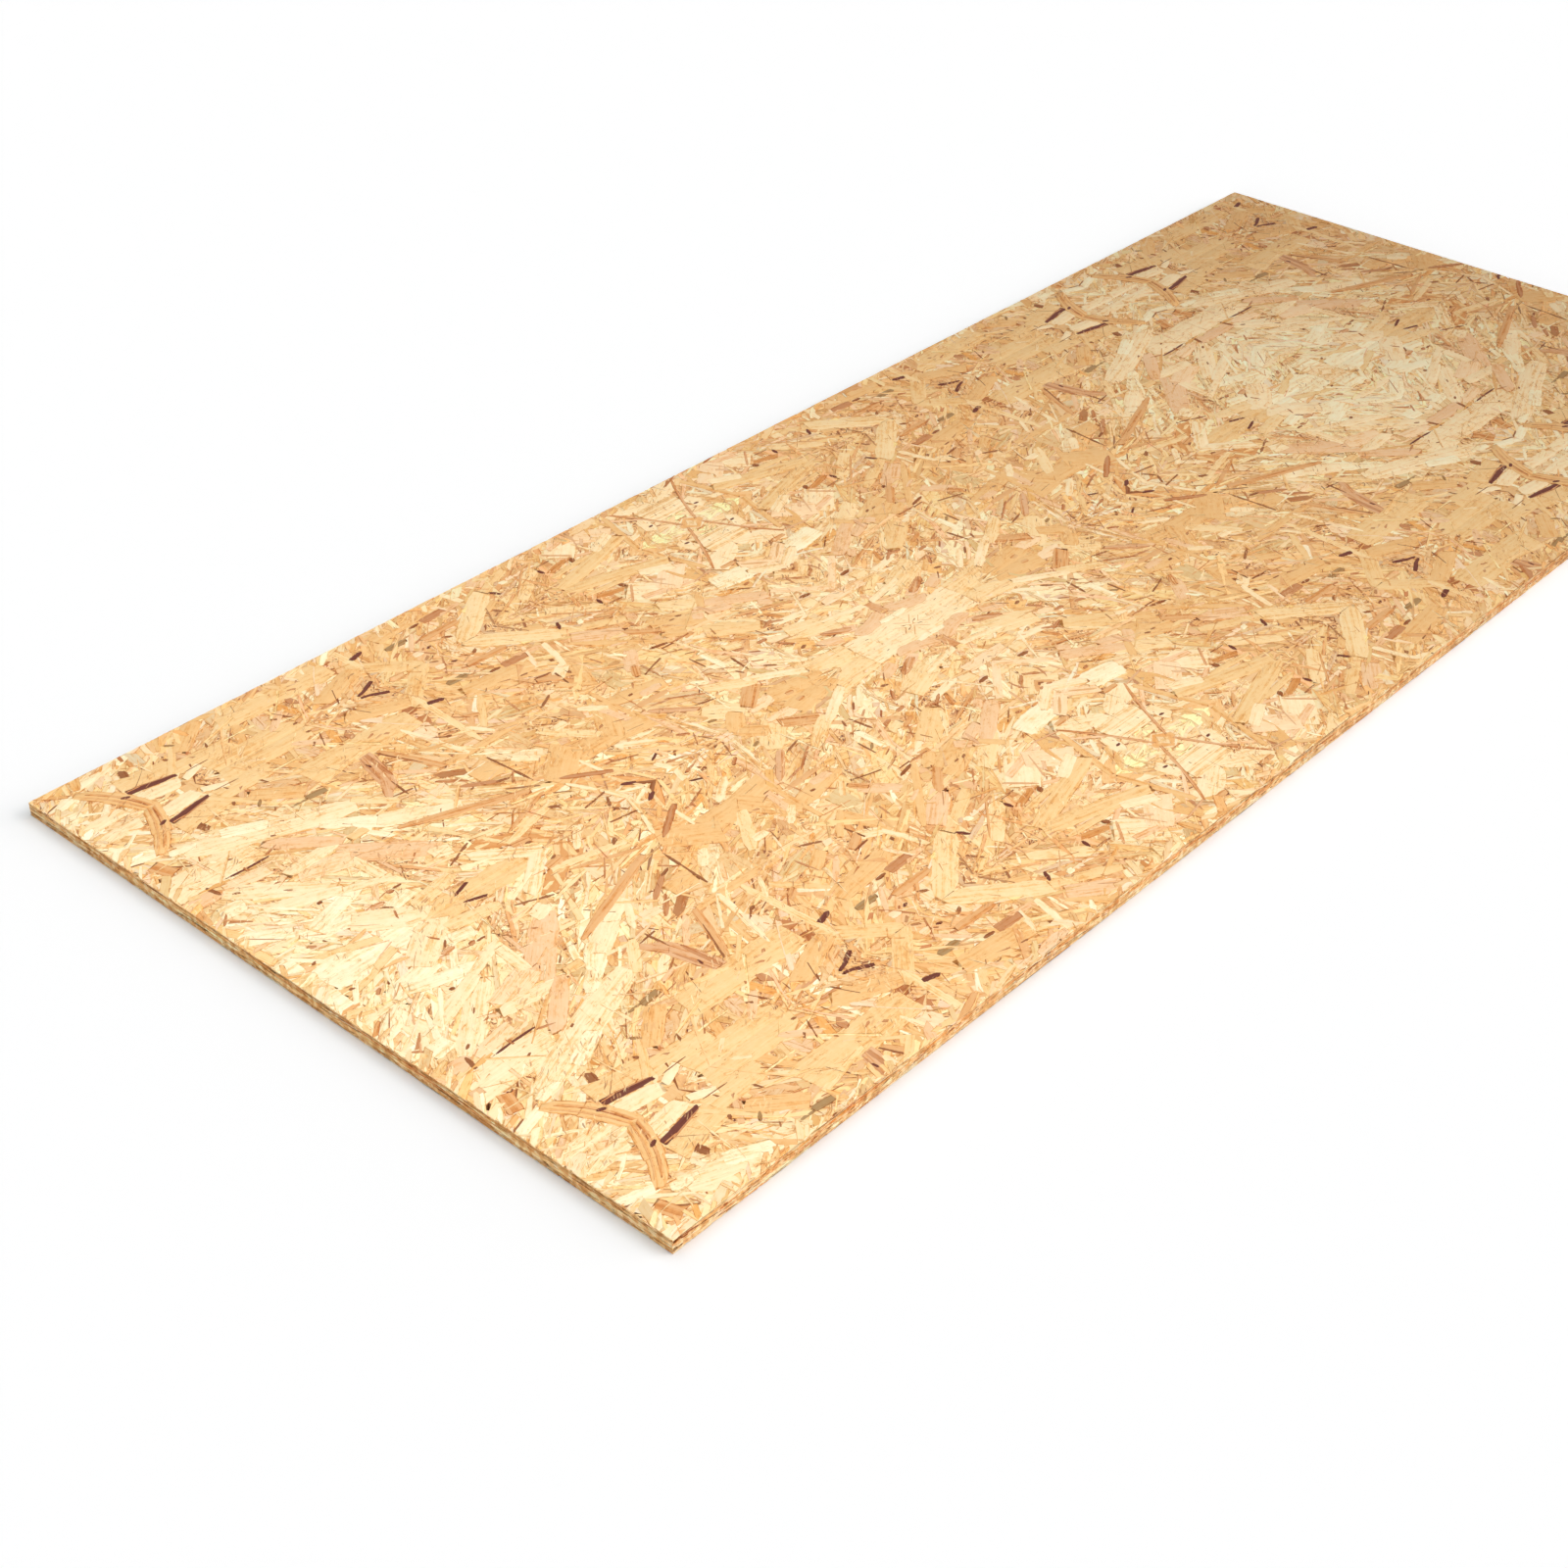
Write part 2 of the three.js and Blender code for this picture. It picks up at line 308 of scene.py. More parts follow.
    (854, 258, 13, 11, 0, WHITE, 0.6, 0.6, 0),
    (928, 390, 40, 20, 35, HONEY, 0.1, 0.7, 0),
    (945, 583, 100, 18, 30, CREAM, 0.4, 0.7, 0),
    (988, 571, 62, 12, 42, CREAM, 0.5, 0.6, 0),
    (965, 571, 40, 8, 38, ROSE, 0.5, 0.6, 0),
    (913, 484, 58, 14, 90, WHITE, 0.9, 0.9, 0),
    (961, 479, 30, 17, 20, STRAW, 0.6, 0.6, 0),
    (954, 463, 20, 13, 60, WHITE, 0.6, 0.6, 0),
    (1147, 545, 84, 15, 10, CREAM, 0.5, 0.6, 0),
    (1087, 491, 76, 15, 10, CREAM, 0.5, 0.6, 0),
    (1135, 481, 28, 24, 0, STRAW, 0.7, 0.8, 0),
    (1032, 444, 64, 9, 45, STRAW, 0.5, 0.6, 0),
    (1041, 542, 38, 11, 35, HONEY, 0.4, 0.6, 0),
    (1092, 429, 24, 16, 40, BLUSH, 0.5, 0.6, 0),
    (1071, 584, 42, 22, 20, BLUSH, 0.5, 0.6, 0),
    (1152, 592, 80, 26, -14, BLUSH, 0.4, 0.7, 6),
    (1195, 571, 38, 14, 88, CLAY, 0.7, 0.7, 0),
    (1192, 606, 52, 12, 4, WHITE, 0.5, 0.9, 0),
    (1027, 389, 44, 20, 20, BLUSH, 0.5, 0.6, 0),
    (992, 378, 28, 20, -50, BLUSH, 0.5, 0.6, 0),
    (1025, 351, 40, 14, -52, HONEY, 0.6, 0.6, 0),
    (1136, 308, 30, 11, 0, COPPER, 0.5, 0.6, 0),
    (1188, 372, 64, 27, 20, CREAM, 0.5, 0.7, 0),
    (1153, 366, 30, 8, 10, COPPER, 0.5, 0.6, 0),
    (1139, 217, 40, 24, 78, CREAM, 0.6, 0.6, 0),
    (1048, 233, 60, 20, 25, CREAM, 0.6, 0.7, 0),
    (93, 493, 84, 7, 52, WHITE, 0.5, 0.7, 0),
    (361, 210, 56, 14, 40, BLUSH, 0.5, 0.6, 0),
    (331, 329, 28, 9, 20, BLUSH, 0.5, 0.6, 0),
    (38, 188, 84, 26, 2, CREAM, 0.8, 0.7, 0),
    (42, 216, 54, 6, -32, WHITE, 0.5, 0.6, 0),
    (200, 197, 40, 14, 24, CREAM, 0.6, 0.6, 0),
    (1172, 338, 60, 22, 35, ROSE, 0.6, 0.6, 0),
    (1168, 336, 44, 6, 38, COPPER, 0.5, 0.6, 0),
    (1163, 449, 110, 15, 41, ROSE, 0.6, 0.7, 0),
    (1178, 429, 110, 13, 39, STRAW, 0.6, 0.7, 0),
    (1180, 370, 90, 22, 32, CREAM, 0.6, 0.7, 0),
    (1188, 404, 64, 24, 38, STRAW, 0.7, 0.7, 0),
    (1171, 413, 34, 4, -75, BARK, 0.4, 0.5, -4),
    (1184, 420, 27, 5, 38, BARK, 0.5, 0.5, 0),
    (1187, 393, 30, 8, 42, COPPER, 0.5, 0.6, 0),
    (1195, 394, 9, 5, 30, BROWN, 0.5, 0.6, 0),
    (1187, 384, 8, 5, 30, BARK, 0.5, 0.6, 0),
    (80, 222, 112, 25, -60, HONEY, 0.5, 0.95, 7),
    (98, 192, 84, 29, -69, HONEY, 0.65, 1, 3),
    (106, 186, 50, 9, -73, COPPER, 0.3, 0.9, 1),
    (92, 196, 66, 4, -68, COPPER, 0.3, 0.6, 2),
    (84, 228, 76, 5, -58, COPPER, 0.4, 0.5, 4),
    (101, 196, 44, 3, -70, BARK, 0.4, 0.4, 1),
    (72, 230, 64, 3, -58, COPPER, 0.4, 0.4, 4),
    (378, 340, 100, 28, -75, CLAY, 0.5, 1, 0),
    (358, 380, 40, 14, -60, CLAY, 0.5, 0.8, 0),
    (389, 326, 66, 9, -84, BARK, 0.4, 0.8, 0),
    (374, 325, 62, 5, -78, BARK, 0.4, 0.6, 0),
    (399, 496, 196, 15, 21, COPPER, 0.4, 0.8, 0),
    (453, 563, 108, 8, -20, COPPER, 0.3, 0.7, 0),
    (432, 349, 106, 14, 68, COPPER, 0.3, 0.7, 0),
    (572, 561, 78, 11, 33, BARK, 0.4, 0.8, 0),
    (774, 537, 76, 14, 42, CLAY, 0.4, 0.7, 0),
    (827, 396, 62, 24, -48, BLUSH, 0.6, 0.6, 0),
    (811, 422, 30, 14, -55, COPPER, 0.5, 0.5, 0),
    (710, 264, 46, 17, 4, BARK, 0.7, 0.9, 0),
    (1100, 571, 50, 15, 27, CLAY, 0.3, 0.6, 0),
    (1091, 568, 34, 5, 38, BARK, 0.3, 0.3, 0),
    (1080, 442, 108, 8, 20, COPPER, 0.3, 0.5, 0),
    (1146, 238, 142, 6, -61, CLAY, 0.8, 0.6, 3),
    (1070, 466, 32, 7, 62, COPPER, 0.4, 0.5, 0),
    (1045, 477, 28, 6, -20, BARK, 0.4, 0.5, 0),
    (1059, 480, 28, 6, 30, BARK, 0.4, 0.5, 0),
    (984, 474, 32, 8, 20, COPPER, 0.5, 0.6, 0),
    (951, 492, 38, 8, 18, BARK, 0.5, 0.6, 0),
    (970, 256, 52, 6, -48, CLAY, 0.5, 0.5, 0),
    (874, 239, 92, 5, 42, COPPER, 0.4, 0.6, 0),
    (565, 326, 24, 12, 30, COPPER, 0.5, 0.6, 0),
    (454, 466, 56, 9, 33, BARK, 0.3, 0.6, 0),
    (433, 432, 46, 8, 44, BARK, 0.3, 0.7, 0),
    (410, 236, 18, 15, 80, BARK, 0.7, 0.7, 0),
    (1142, 392, 46, 6, 78, CLAY, 0.5, 0.5, 0),
    (1012, 376, 32, 7, 78, CLAY, 0.5, 0.5, 0),
    (1038, 185, 38, 6, 38, COPPER, 0.5, 0.5, 0),
    (616, 240, 40, 13, 0, ASH, 0.7, 0.6, 0),
    (284, 315, 34, 12, 6, ASH, 0.3, 0.9, 0),
    (256, 315, 22, 5, 6, ASH, 0.2, 0.6, 0),
    (791, 599, 14, 6, 20, ASH, 0.5, 0.5, 0),
    (900, 472, 14, 5, 45, ASH, 0.5, 0.5, 0),
    (143, 214, 76, 11, -11, UMBER, 0.95, 0.5, 0),
    (148, 218, 60, 3, -13, BARK, 0.6, 0.5, 0),
    (118, 222, 22, 3, -4, CLAY, 0.6, 0.5, 0),
    (130, 263, 18, 13, 75, BROWN, 1, 0.6, 0),
    (98, 213, 13, 6, -30, UMBER, 0.4, 0.4, 0),
    (273, 628, 34, 7, -20, UMBER, 0.3, 0.8, 0),
    (111, 380, 74, 4, 2, UMBER, 0.1, 0.6, 1),
    (159, 372, 26, 4, -18, BARK, 0.4, 0.3, 0),
    (49, 390, 26, 8, 78, BROWN, 0.6, 0.4, 0),
    (22, 450, 24, 5, -50, BARK, 0.4, 0.4, 0),
    (27, 457, 20, 3, 50, CLAY, 0.4, 0.4, 0),
    (43, 605, 8, 5, -30, BROWN, 0.5, 0.5, 0),
    (10, 265, 30, 4, 18, BROWN, 0.5, 0.3, 0),
    (207, 562, 10, 8, 10, BARK, 0.5, 0.5, 0),
    (221, 560, 14, 4, 5, BROWN, 0.4, 0.4, 0),
    (176, 573, 20, 10, 10, CLAY, 0.5, 0.5, 0),
    (84, 582, 13, 6, 45, BROWN, 0.5, 0.5, 0),
    (62, 577, 13, 6, 45, BARK, 0.5, 0.5, 0),
    (183, 587, 12, 5, 40, BROWN, 0.5, 0.5, 0),
    (27, 561, 16, 5, 60, BARK, 0.5, 0.5, 0),
    (128, 512, 7, 6, 0, BROWN, 0.5, 0.5, 0),
    (57, 505, 24, 4, 55, CLAY, 0.5, 0.5, 0),
    (118, 460, 12, 4, 45, BROWN, 0.5, 0.5, 0),
    (67, 415, 10, 6, 40, BROWN, 0.5, 0.5, 0),
    (217, 274, 15, 6, -40, ASH, 0.5, 0.6, 0),
    (192, 248, 7, 6, -40, BROWN, 0.5, 0.6, 0),
    (175, 255, 7, 5, 40, BROWN, 0.5, 0.6, 0),
    (158, 256, 7, 5, 40, BROWN, 0.5, 0.6, 0),
    (213, 204, 42, 3, 2, BROWN, 0.3, 0.3, 0),
    (332, 565, 72, 5, -23, BROWN, 0.3, 0.4, 0),
    (509, 470, 90, 5, 86, BROWN, 0.5, 0.3, 0),
    (499, 487, 34, 3, -48, BARK, 0.4, 0.4, 0),
    (421, 334, 76, 4, 66, BROWN, 0.8, 0.3, 0),
    (373, 390, 40, 4, -84, BROWN, 0.5, 0.4, 0),
    (378, 317, 11, 5, 82, UMBER, 0.5, 0.5, 0),
    (406, 618, 8, 6, 0, BROWN, 0.5, 0.5, 0),
    (483, 483, 20, 5, 18, BROWN, 0.4, 0.4, 0),
    (487, 583, 16, 7, 33, BROWN, 0.5, 0.5, 0),
    (426, 565, 48, 3, -45, COPPER, 0.4, 0.4, 0),
    (443, 561, 40, 3, -45, COPPER, 0.4, 0.4, 0),
    (496, 338, 28, 3, 38, BROWN, 0.3, 0.7, 0),
    (505, 344, 8, 6, 0, BROWN, 0.6, 0.6, 0),
    (555, 261, 28, 9, 14, UMBER, 0.9, 0.1, 0),
    (377, 215, 36, 3, -64, BROWN, 0.4, 0.4, 0),
    (376, 185, 7, 6, 0, BROWN, 0.6, 0.6, 0),
    (512, 184, 30, 7, 26, UMBER, 0.8, 0.8, 0),
    (495, 176, 20, 6, 16, UMBER, 0.6, 0.8, 0),
    (545, 634, 34, 5, -56, BROWN, 0.5, 0.4, 0),
    (614, 635, 54, 7, 37, BROWN, 0.2, 0.8, 0),
    (597, 620, 20, 8, 38, UMBER, 0.4, 0.6, 0),
    (669, 601, 36, 4, -28, UMBER, 0.4, 0.6, 0),
    (682, 627, 24, 6, 15, BARK, 0.3, 0.6, 0),
    (694, 617, 15, 5, -40, BROWN, 0.4, 0.6, 0),
    (812, 524, 62, 4, 32, BARK, 0.3, 0.4, 0),
    (826, 558, 46, 4, 16, BROWN, 0.3, 0.5, 0),
    (760, 462, 9, 6, 0, BROWN, 0.5, 0.5, 0),
    (780, 447, 17, 3, -50, BARK, 0.5, 0.5, 0),
    (663, 381, 34, 5, -27, BROWN, 0.5, 0.5, 0),
    (623, 352, 38, 4, -80, BARK, 0.4, 0.4, 0),
    (708, 328, 30, 4, 6, BROWN, 0.4, 0.6, 0),
    (672, 262, 20, 6, 4, BROWN, 0.4, 0.6, 0),
    (666, 317, 15, 5, 10, BROWN, 0.5, 0.5, 0),
    (692, 304, 14, 4, 5, BROWN, 0.5, 0.5, 0),
    (647, 199, 8, 6, 0, UMBER, 0.5, 0.5, 0),
    (685, 201, 15, 6, -35, BROWN, 0.5, 0.5, 0),
    (823, 242, 20, 7, -65, UMBER, 0.5, 0.6, 0),
    (886, 397, 32, 6, 12, BROWN, 0.4, 0.6, 0),
    (868, 314, 34, 3, 42, BARK, 0.4, 0.5, 0),
    (791, 356, 24, 4, 76, BARK, 0.4, 0.5, 0),
    (923, 405, 38, 4, 0, BARK, 0.5, 0.5, 0),
    (924, 632, 14, 11, 10, COPPER, 0.6, 0.6, 0),
    (933, 522, 42, 5, -82, BROWN, 0.6, 0.4, 0),
    (916, 539, 14, 5, 60, BROWN, 0.5, 0.5, 0),
    (1034, 562, 12, 7, -20, BROWN, 0.5, 0.5, 0),
    (1023, 536, 24, 6, 50, BARK, 0.5, 0.5, 0),
    (1052, 578, 22, 3, 45, BROWN, 0.5, 0.5, 0),
    (1009, 638, 12, 5, 0, BROWN, 0.5, 0.5, 0),
    (961, 560, 20, 4, 42, BROWN, 0.5, 0.5, 0),
    (1002, 504, 18, 8, 0, BARK, 0.5, 0.5, 0),
    (1148, 463, 22, 7, 8, BROWN, 0.3, 0.5, 0),
    (1142, 211, 9, 6, 0, UMBER, 0.5, 0.5, 0),
    (917, 237, 12, 8, -60, UMBER, 0.5, 0.5, 0),
    (977, 227, 11, 9, 30, BROWN, 0.5, 0.5, 0),
    (954, 359, 9, 5, 0, BROWN, 0.5, 0.5, 0),
    (969, 358, 10, 6, 20, BROWN, 0.5, 0.5, 0),
    (938, 316, 40, 3, 42, BARK, 0.5, 0.5, 0),
    (1020, 266, 56, 4, 62, CLAY, 0.5, 0.5, 0),
    (1086, 301, 54, 4, -10, CLAY, 0.4, 0.4, 0),
    (1113, 370, 11, 6, 0, BARK, 0.5, 0.5, 0),
]


# The strands of LANDMARKS are chips below the first length and boards above the second.
CHIP_LENGTH = 26
BOARD_LENGTH = 130


def landmarks():
    """The strands of LANDMARKS, stacked in their order: each rises by its share of all the levels.

    The ends of slim strands lean, those of chips most, and the ends of boards are square. A chip is
    slim where it is longer than wide, any other strand where it is three times as long as wide. The
    ends of the rest are blunt, halfway to their full width. Dark strands show their growth rings.
    """
    strands = blank(len(LANDMARKS))
    names = ("x", "y", "length", "width", "angle", "tint", "start", "end", "bow")
    for name, values in zip(names, zip(*LANDMARKS)):
        strands[name] = values
    strands["angle"] = np.radians(strands["angle"])
    level = levels(strands)
    strands["depth"] = RELIEF * (0.5 - 0.46 * level / level.max())
    strands["fray"] = np.clip(0.12 * strands["width"], 1.2, 4)
    draw = np.random.default_rng(3)
    strands["seed"] = draw.uniform(0, 100, len(strands))
    strands["roll"] = draw.normal(0, 0.01, len(strands))
    strands["pitch"] = draw.normal(0, 0.01, len(strands))
    chip = strands["length"] < CHIP_LENGTH
    slim = strands["length"] > np.where(chip, 1, 3) * strands["width"]
    lean = np.where(chip, 0.7, 0.3) * slim * (strands["length"] < BOARD_LENGTH)
    strands["shear"] = draw.normal(0, 1, len(strands)) * lean
    for end in ("start", "end"):
        blunt = np.where(slim, strands[end], (1 + strands[end]) / 2)
        strands[end] = blunt * draw.uniform(0.8, 1.2, len(strands))
    dark = strands["tint"][:, 1] < COPPER[1] * 1.05
    strands["figure"] = np.where(dark, 1.5, draw.uniform(0, 1, len(strands)) ** 2)
    return strands


def levels(strands):
    """How many strands are stacked under each one: it lies on all the earlier ones that it meets.

    Two strands meet where one of a few points over one of them is in the rectangle of the other.
    """
    u, v = (part.ravel() for part in np.meshgrid(np.linspace(-0.48, 0.48, 9), (-0.45, 0, 0.45)))
    along, across = u * strands["length"][:, None], v * strands["width"][:, None]
    cos, sin = np.cos(strands["angle"]), np.sin(strands["angle"])
    x = strands["x"][:, None] + along * cos[:, None] - across * sin[:, None]
    y = strands["y"][:, None] + along * sin[:, None] + across * cos[:, None]
    dx, dy = x[..., None] - strands["x"], y[..., None] - strands["y"]
    near = np.abs(dx * cos + dy * sin) < strands["length"] / 2
    near &= np.abs(dy * cos - dx * sin) < strands["width"] / 2
    meets = near.any(1) | near.any(1).T
    level = np.zeros(len(strands))
    for i in range(1, len(strands)):
        level[i] = (level[:i] + 1)[meets[i, :i]].max(initial=0)
    return level


def scatter(draw, count, area, lengths, slimness, depths, shares, lean=33, swing=27):
    """Strands strewn over an area: most lean one way, give or take the swing, in degrees.

    One in three lies anyhow. Lengths are log-even between their limits, and a width is its length
    over a slimness. A colour is raised to a power near 1, which turns it honey or pale as ageing
    and sapwood do, and then made a little lighter or darker.
    """
    strands = blank(count)
    for name, (low, high) in zip(("x", "y"), area):
        strands[name] = draw.uniform(low, high, count)
    strands["length"] = np.exp(draw.uniform(*np.log(lengths), count))
    strands["width"] = strands["length"] / draw.uniform(*slimness, count)
    lain = draw.normal(lean, swing, count)
    anyhow = draw.uniform(-90, 90, count)
    strands["angle"] = np.radians(np.where(draw.random(count) < 0.33, anyhow, lain))
    strands["start"] = draw.uniform(0.45, 1.1, count)
    strands["end"] = draw.uniform(0.45, 1.1, count)
    strands["bow"] = draw.normal(0, 0.008, count) * strands["length"]
    strands["shear"] = draw.normal(0, 0.6, count)
    strands["depth"] = draw.uniform(*depths, count)
    strands["roll"] = draw.normal(0, 0.1, count)
    strands["pitch"] = draw.normal(0, 0.12, count)
    strands["fray"] = draw.uniform(0.05, 0.25, count) * strands["width"]
    strands["seed"] = draw.uniform(0, 100, count)
    chosen = draw.choice(len(COLOURS), count, p=np.array(shares) / sum(shares))
    age = np.exp(draw.normal(0, 0.12, (count, 1)))
    shade = draw.normal(0.99, 0.07, (count, 1)) + draw.normal(0, 0.012, (count, 3))
    strands["tint"] = np.clip(np.array(COLOURS)[chosen] ** age * shade, DARKEST, LIGHTEST)
    strands["figure"] = draw.uniform(0, 1, count) ** 2
    return strands


def mirrored_copies(strands, box):
    """The copies of a pattern that fill a box, each turned over as a mirror image of the next.

    Copy (i, j) starts i pattern lengths and j pattern widths from the pattern's own corner. Where i
    or j is odd, that coordinate runs backwards, and each of the two turns changes the hand.
    """
    x_low, x_high, y_low, y_high = box
    copies = []
    for i in range(int(x_high // PATTERN_LENGTH) + 1):
        for j in range(-1, int((y_high - PATTERN_FOOT) // PATTERN_WIDTH) + 1):
            copy = strands.copy()
            left, foot = i * PATTERN_LENGTH, PATTERN_FOOT + j * PATTERN_WIDTH
            if i % 2:
                copy["x"] = PATTERN_LENGTH - copy["x"]
                copy["angle"] = np.pi - copy["angle"]
                copy["hand"] *= -1
            if j % 2:
                copy["y"] = 2 * PATTERN_FOOT + PATTERN_WIDTH - copy["y"]
                copy["angle"] *= -1
                copy["hand"] *= -1
            copy["x"] += left
            copy["y"] += j * PATTERN_WIDTH
            copy["cuts"] = (
                max(left, x_low),
                min(left + PATTERN_LENGTH, x_high),
                max(foot, y_low),
                min(foot + PATTERN_WIDTH, y_high),
            )
            copies.append(copy)
    return np.concatenate(copies)


# --- Strand surfaces --------------------------------------------------------------------------


def wave(seed, t, octave):
    """A smooth line that differs from strand to strand: a sine of the place along it."""
    return np.sin(2 * np.pi * (t * (1.3 + 1.9 * octave) + seed * (0.37 + 0.61 * octave)))


def taper(share, distance):
    """The width near an end: the end's share of it, rising to all of it along a parabola."""
    run = np.clip(distance / WIDENING, 0, 1)
    return share + (1 - share) * run * (2 - run)


def cross_lines(strands, t):
    """Where a strand is at the places t along it: the middle, the way across, and both limits.

    The middle follows a straight line pushed sideways along a parabola. The limits are half the
    width, tapered towards both ends and wavy, and each saw cut moves a limit in to where the line
    across the strand meets it, at (cut - middle) / across. The half width is returned as well.
    """
    of = {name: strands[name][:, None] for name in STRAND.names}
    cos, sin = np.cos(of["angle"]), np.sin(of["angle"])
    along = (t - 0.5) * of["length"]
    push = of["hand"] * of["bow"] * (1 - (2 * t - 1) ** 2)
    middle = of["x"] + cos * along - sin * push, of["y"] + sin * along + cos * push
    across = cos * of["shear"] - sin * of["hand"], sin * of["shear"] + cos * of["hand"]
    half = of["width"] / 2 * taper(of["start"], t) * taper(of["end"], 1 - t)
    low = half * (SLOW_WAVE * wave(of["seed"], t, 1) + QUICK_WAVE * wave(of["seed"], t, 3) - 1)
    high = half * (SLOW_WAVE * wave(of["seed"], t, 2) + QUICK_WAVE * wave(of["seed"], t, 4) + 1)
    for axis in (0, 1):
        slope = across[axis] + np.where(across[axis] < 0, -1e-6, 1e-6)
        for side in (0, 1):
            limit = (strands["cuts"][:, 2 * axis + side, None] - middle[axis]) / slope
            from_above = (slope > 0) == (side == 1)
            high = np.where(from_above, np.minimum(high, limit), high)
            low = np.where(from_above, low, np.maximum(low, limit))
    return middle, across, low, high, half


def sawn(strands):
    """The strands of which the saw left anything, and the first and last place along each."""
    _, _, low, high, _ = cross_lines(strands, SCAN)
    kept = high - low > NARROWEST
    first, last = SCAN[0, kept.argmax(1)], SCAN[0, -1 - kept[:, ::-1].argmax(1)]
    left = kept.any(1) & (last - first > SHORTEST)
    return strands[left], first[left, None], last[left, None]


def strand_skin(strands, stations, section):
    """Each strand's skin, as a closed ring of points carried along it from end to end.

    The section says where each point of the ring is: its share of the way across, its bevel inward,
    and whether it is on the upper side or a ply's thickness below. The upper side lies as deep as
    the strand does, rolls, pitches and ripples, and drops a little at a bevel. An end that the saw
    left whole is ragged.
    """
    share, inward, upper = (np.array(part, float) for part in section)
    strands, first, last = sawn(strands)
    t = first + (last - first) * np.linspace(0, 1, stations)
    lines = cross_lines(strands, t)
    middle, across, low, high, half = (np.array(part)[..., None] for part in lines)
    high = np.maximum(high, low + NARROWEST)
    v = low + (high - low) * share + inward * np.minimum(BEVEL, 0.3 * (high - low))
    t = t[..., None]
    of = {name: strands[name][:, None, None] for name in STRAND.names}

    loose = np.zeros_like(t)
    loose[:, 0, 0] = np.where(first[:, 0] == 0, -1, 0)
    loose[:, -1, 0] = np.where(last[:, 0] == 1, 1, 0)
    jag = loose * of["fray"] * np.sin(7 * of["seed"] + 9 * share + 3 * inward + loose)
    x = middle[0] + across[0] * v + np.cos(of["angle"]) * jag
    y = middle[1] + across[1] * v + np.sin(of["angle"]) * jag
    x_low, x_high, y_low, y_high = np.moveaxis(strands["cuts"], -1, 0)[..., None, None]

    ripple = 0.4 * of["pitch"] * np.sin(5 * of["seed"] + t * of["length"] / 9)
    tilt = 2 * of["roll"] * v / of["width"] + of["pitch"] * (2 * t - 1)
    drop = EDGE_DROP * (inward == 0) * (inward != 0).any() + of["ply"] * (1 - upper)
    height = np.minimum(ripple + tilt - of["depth"], -0.01) - drop
    points = np.stack([np.clip(x, x_low, x_high), np.clip(y, y_low, y_high), height], -1)
    grain = np.stack([t * of["length"] + 37 * of["seed"] + 0 * v, v], -1)
    brim = np.stack(np.broadcast_arrays(v, half, of["length"] * np.minimum(t, 1 - t)), -1)
    lengths = ((last - first) * strands["length"][:, None])[:, 0]
    return strands, points, grain, brim, lengths, (high - low).max((1, 2))


def skin_corners(stations, ring):
    """The corners of one skin's faces, face by face: quads along it, then a cap at each end.

    Returns each corner's station, its place round the ring, and its place on a strip that holds
    the unrolled skin, with 0 to 1 along it and 0 to 1 round it, and then the number of corners of
    each face. A cap bulges past its end of the strip, so that it has some width there.
    """
    i, k = (part.ravel() for part in np.indices((stations - 1, ring)))
    station = np.stack([i, i + 1, i + 1, i], 1).ravel()
    place = np.stack([k, k, k + 1, k + 1], 1).ravel()
    cap = np.arange(ring)
    rounds = np.concatenate([np.linspace(0.06, 0.84, ring - 2), (0.9, 0.95, 1)])
    bulge = 0.02 * np.sin(np.pi * rounds[cap])
    along = np.concatenate([station / (stations - 1), -bulge, 1 + bulge[::-1]])
    station = np.concatenate([station, 0 * cap, 0 * cap + stations - 1])
    place = np.concatenate([place, cap, cap[::-1]])
    sizes = np.concatenate([np.full(len(i), 4), (ring, ring)])
    return station, place % ring, along, rounds[place], sizes


def reversed_faces(sizes):
    """The corners in an order that turns each face over."""
    ends = np.cumsum(sizes)
    return np.repeat(2 * ends - sizes - 1, sizes) - np.arange(sizes.sum())


def packed(lengths, widths, gap):
    """Places for strips on a square, the widest first, in rows as high as their widest strip.

    The strips run on in one line, which is folded wherever it reaches the side. The side starts
    from the strips' area and grows until the rows fit. Returns where each strip starts and the
    length of the square that holds them.
    """
    order = np.argsort(-widths, kind="stable")
    starts = np.cumsum(lengths[order] + gap) - lengths[order] - gap
    side = np.sqrt(((lengths + gap) * (widths + gap)).sum())
    while True:
        row = (starts // side).astype(int)
        heights = widths[order][np.searchsorted(row, np.arange(row[-1] + 1))] + gap
        whole = side + lengths.max() + gap
        if heights.sum() <= whole:
            break
        side *= 1.02
    u, v = np.empty_like(lengths), np.empty_like(widths)
    u[order] = starts - row * side + gap
    v[order] = (np.cumsum(heights) - heights)[row]
    return u, v, whole


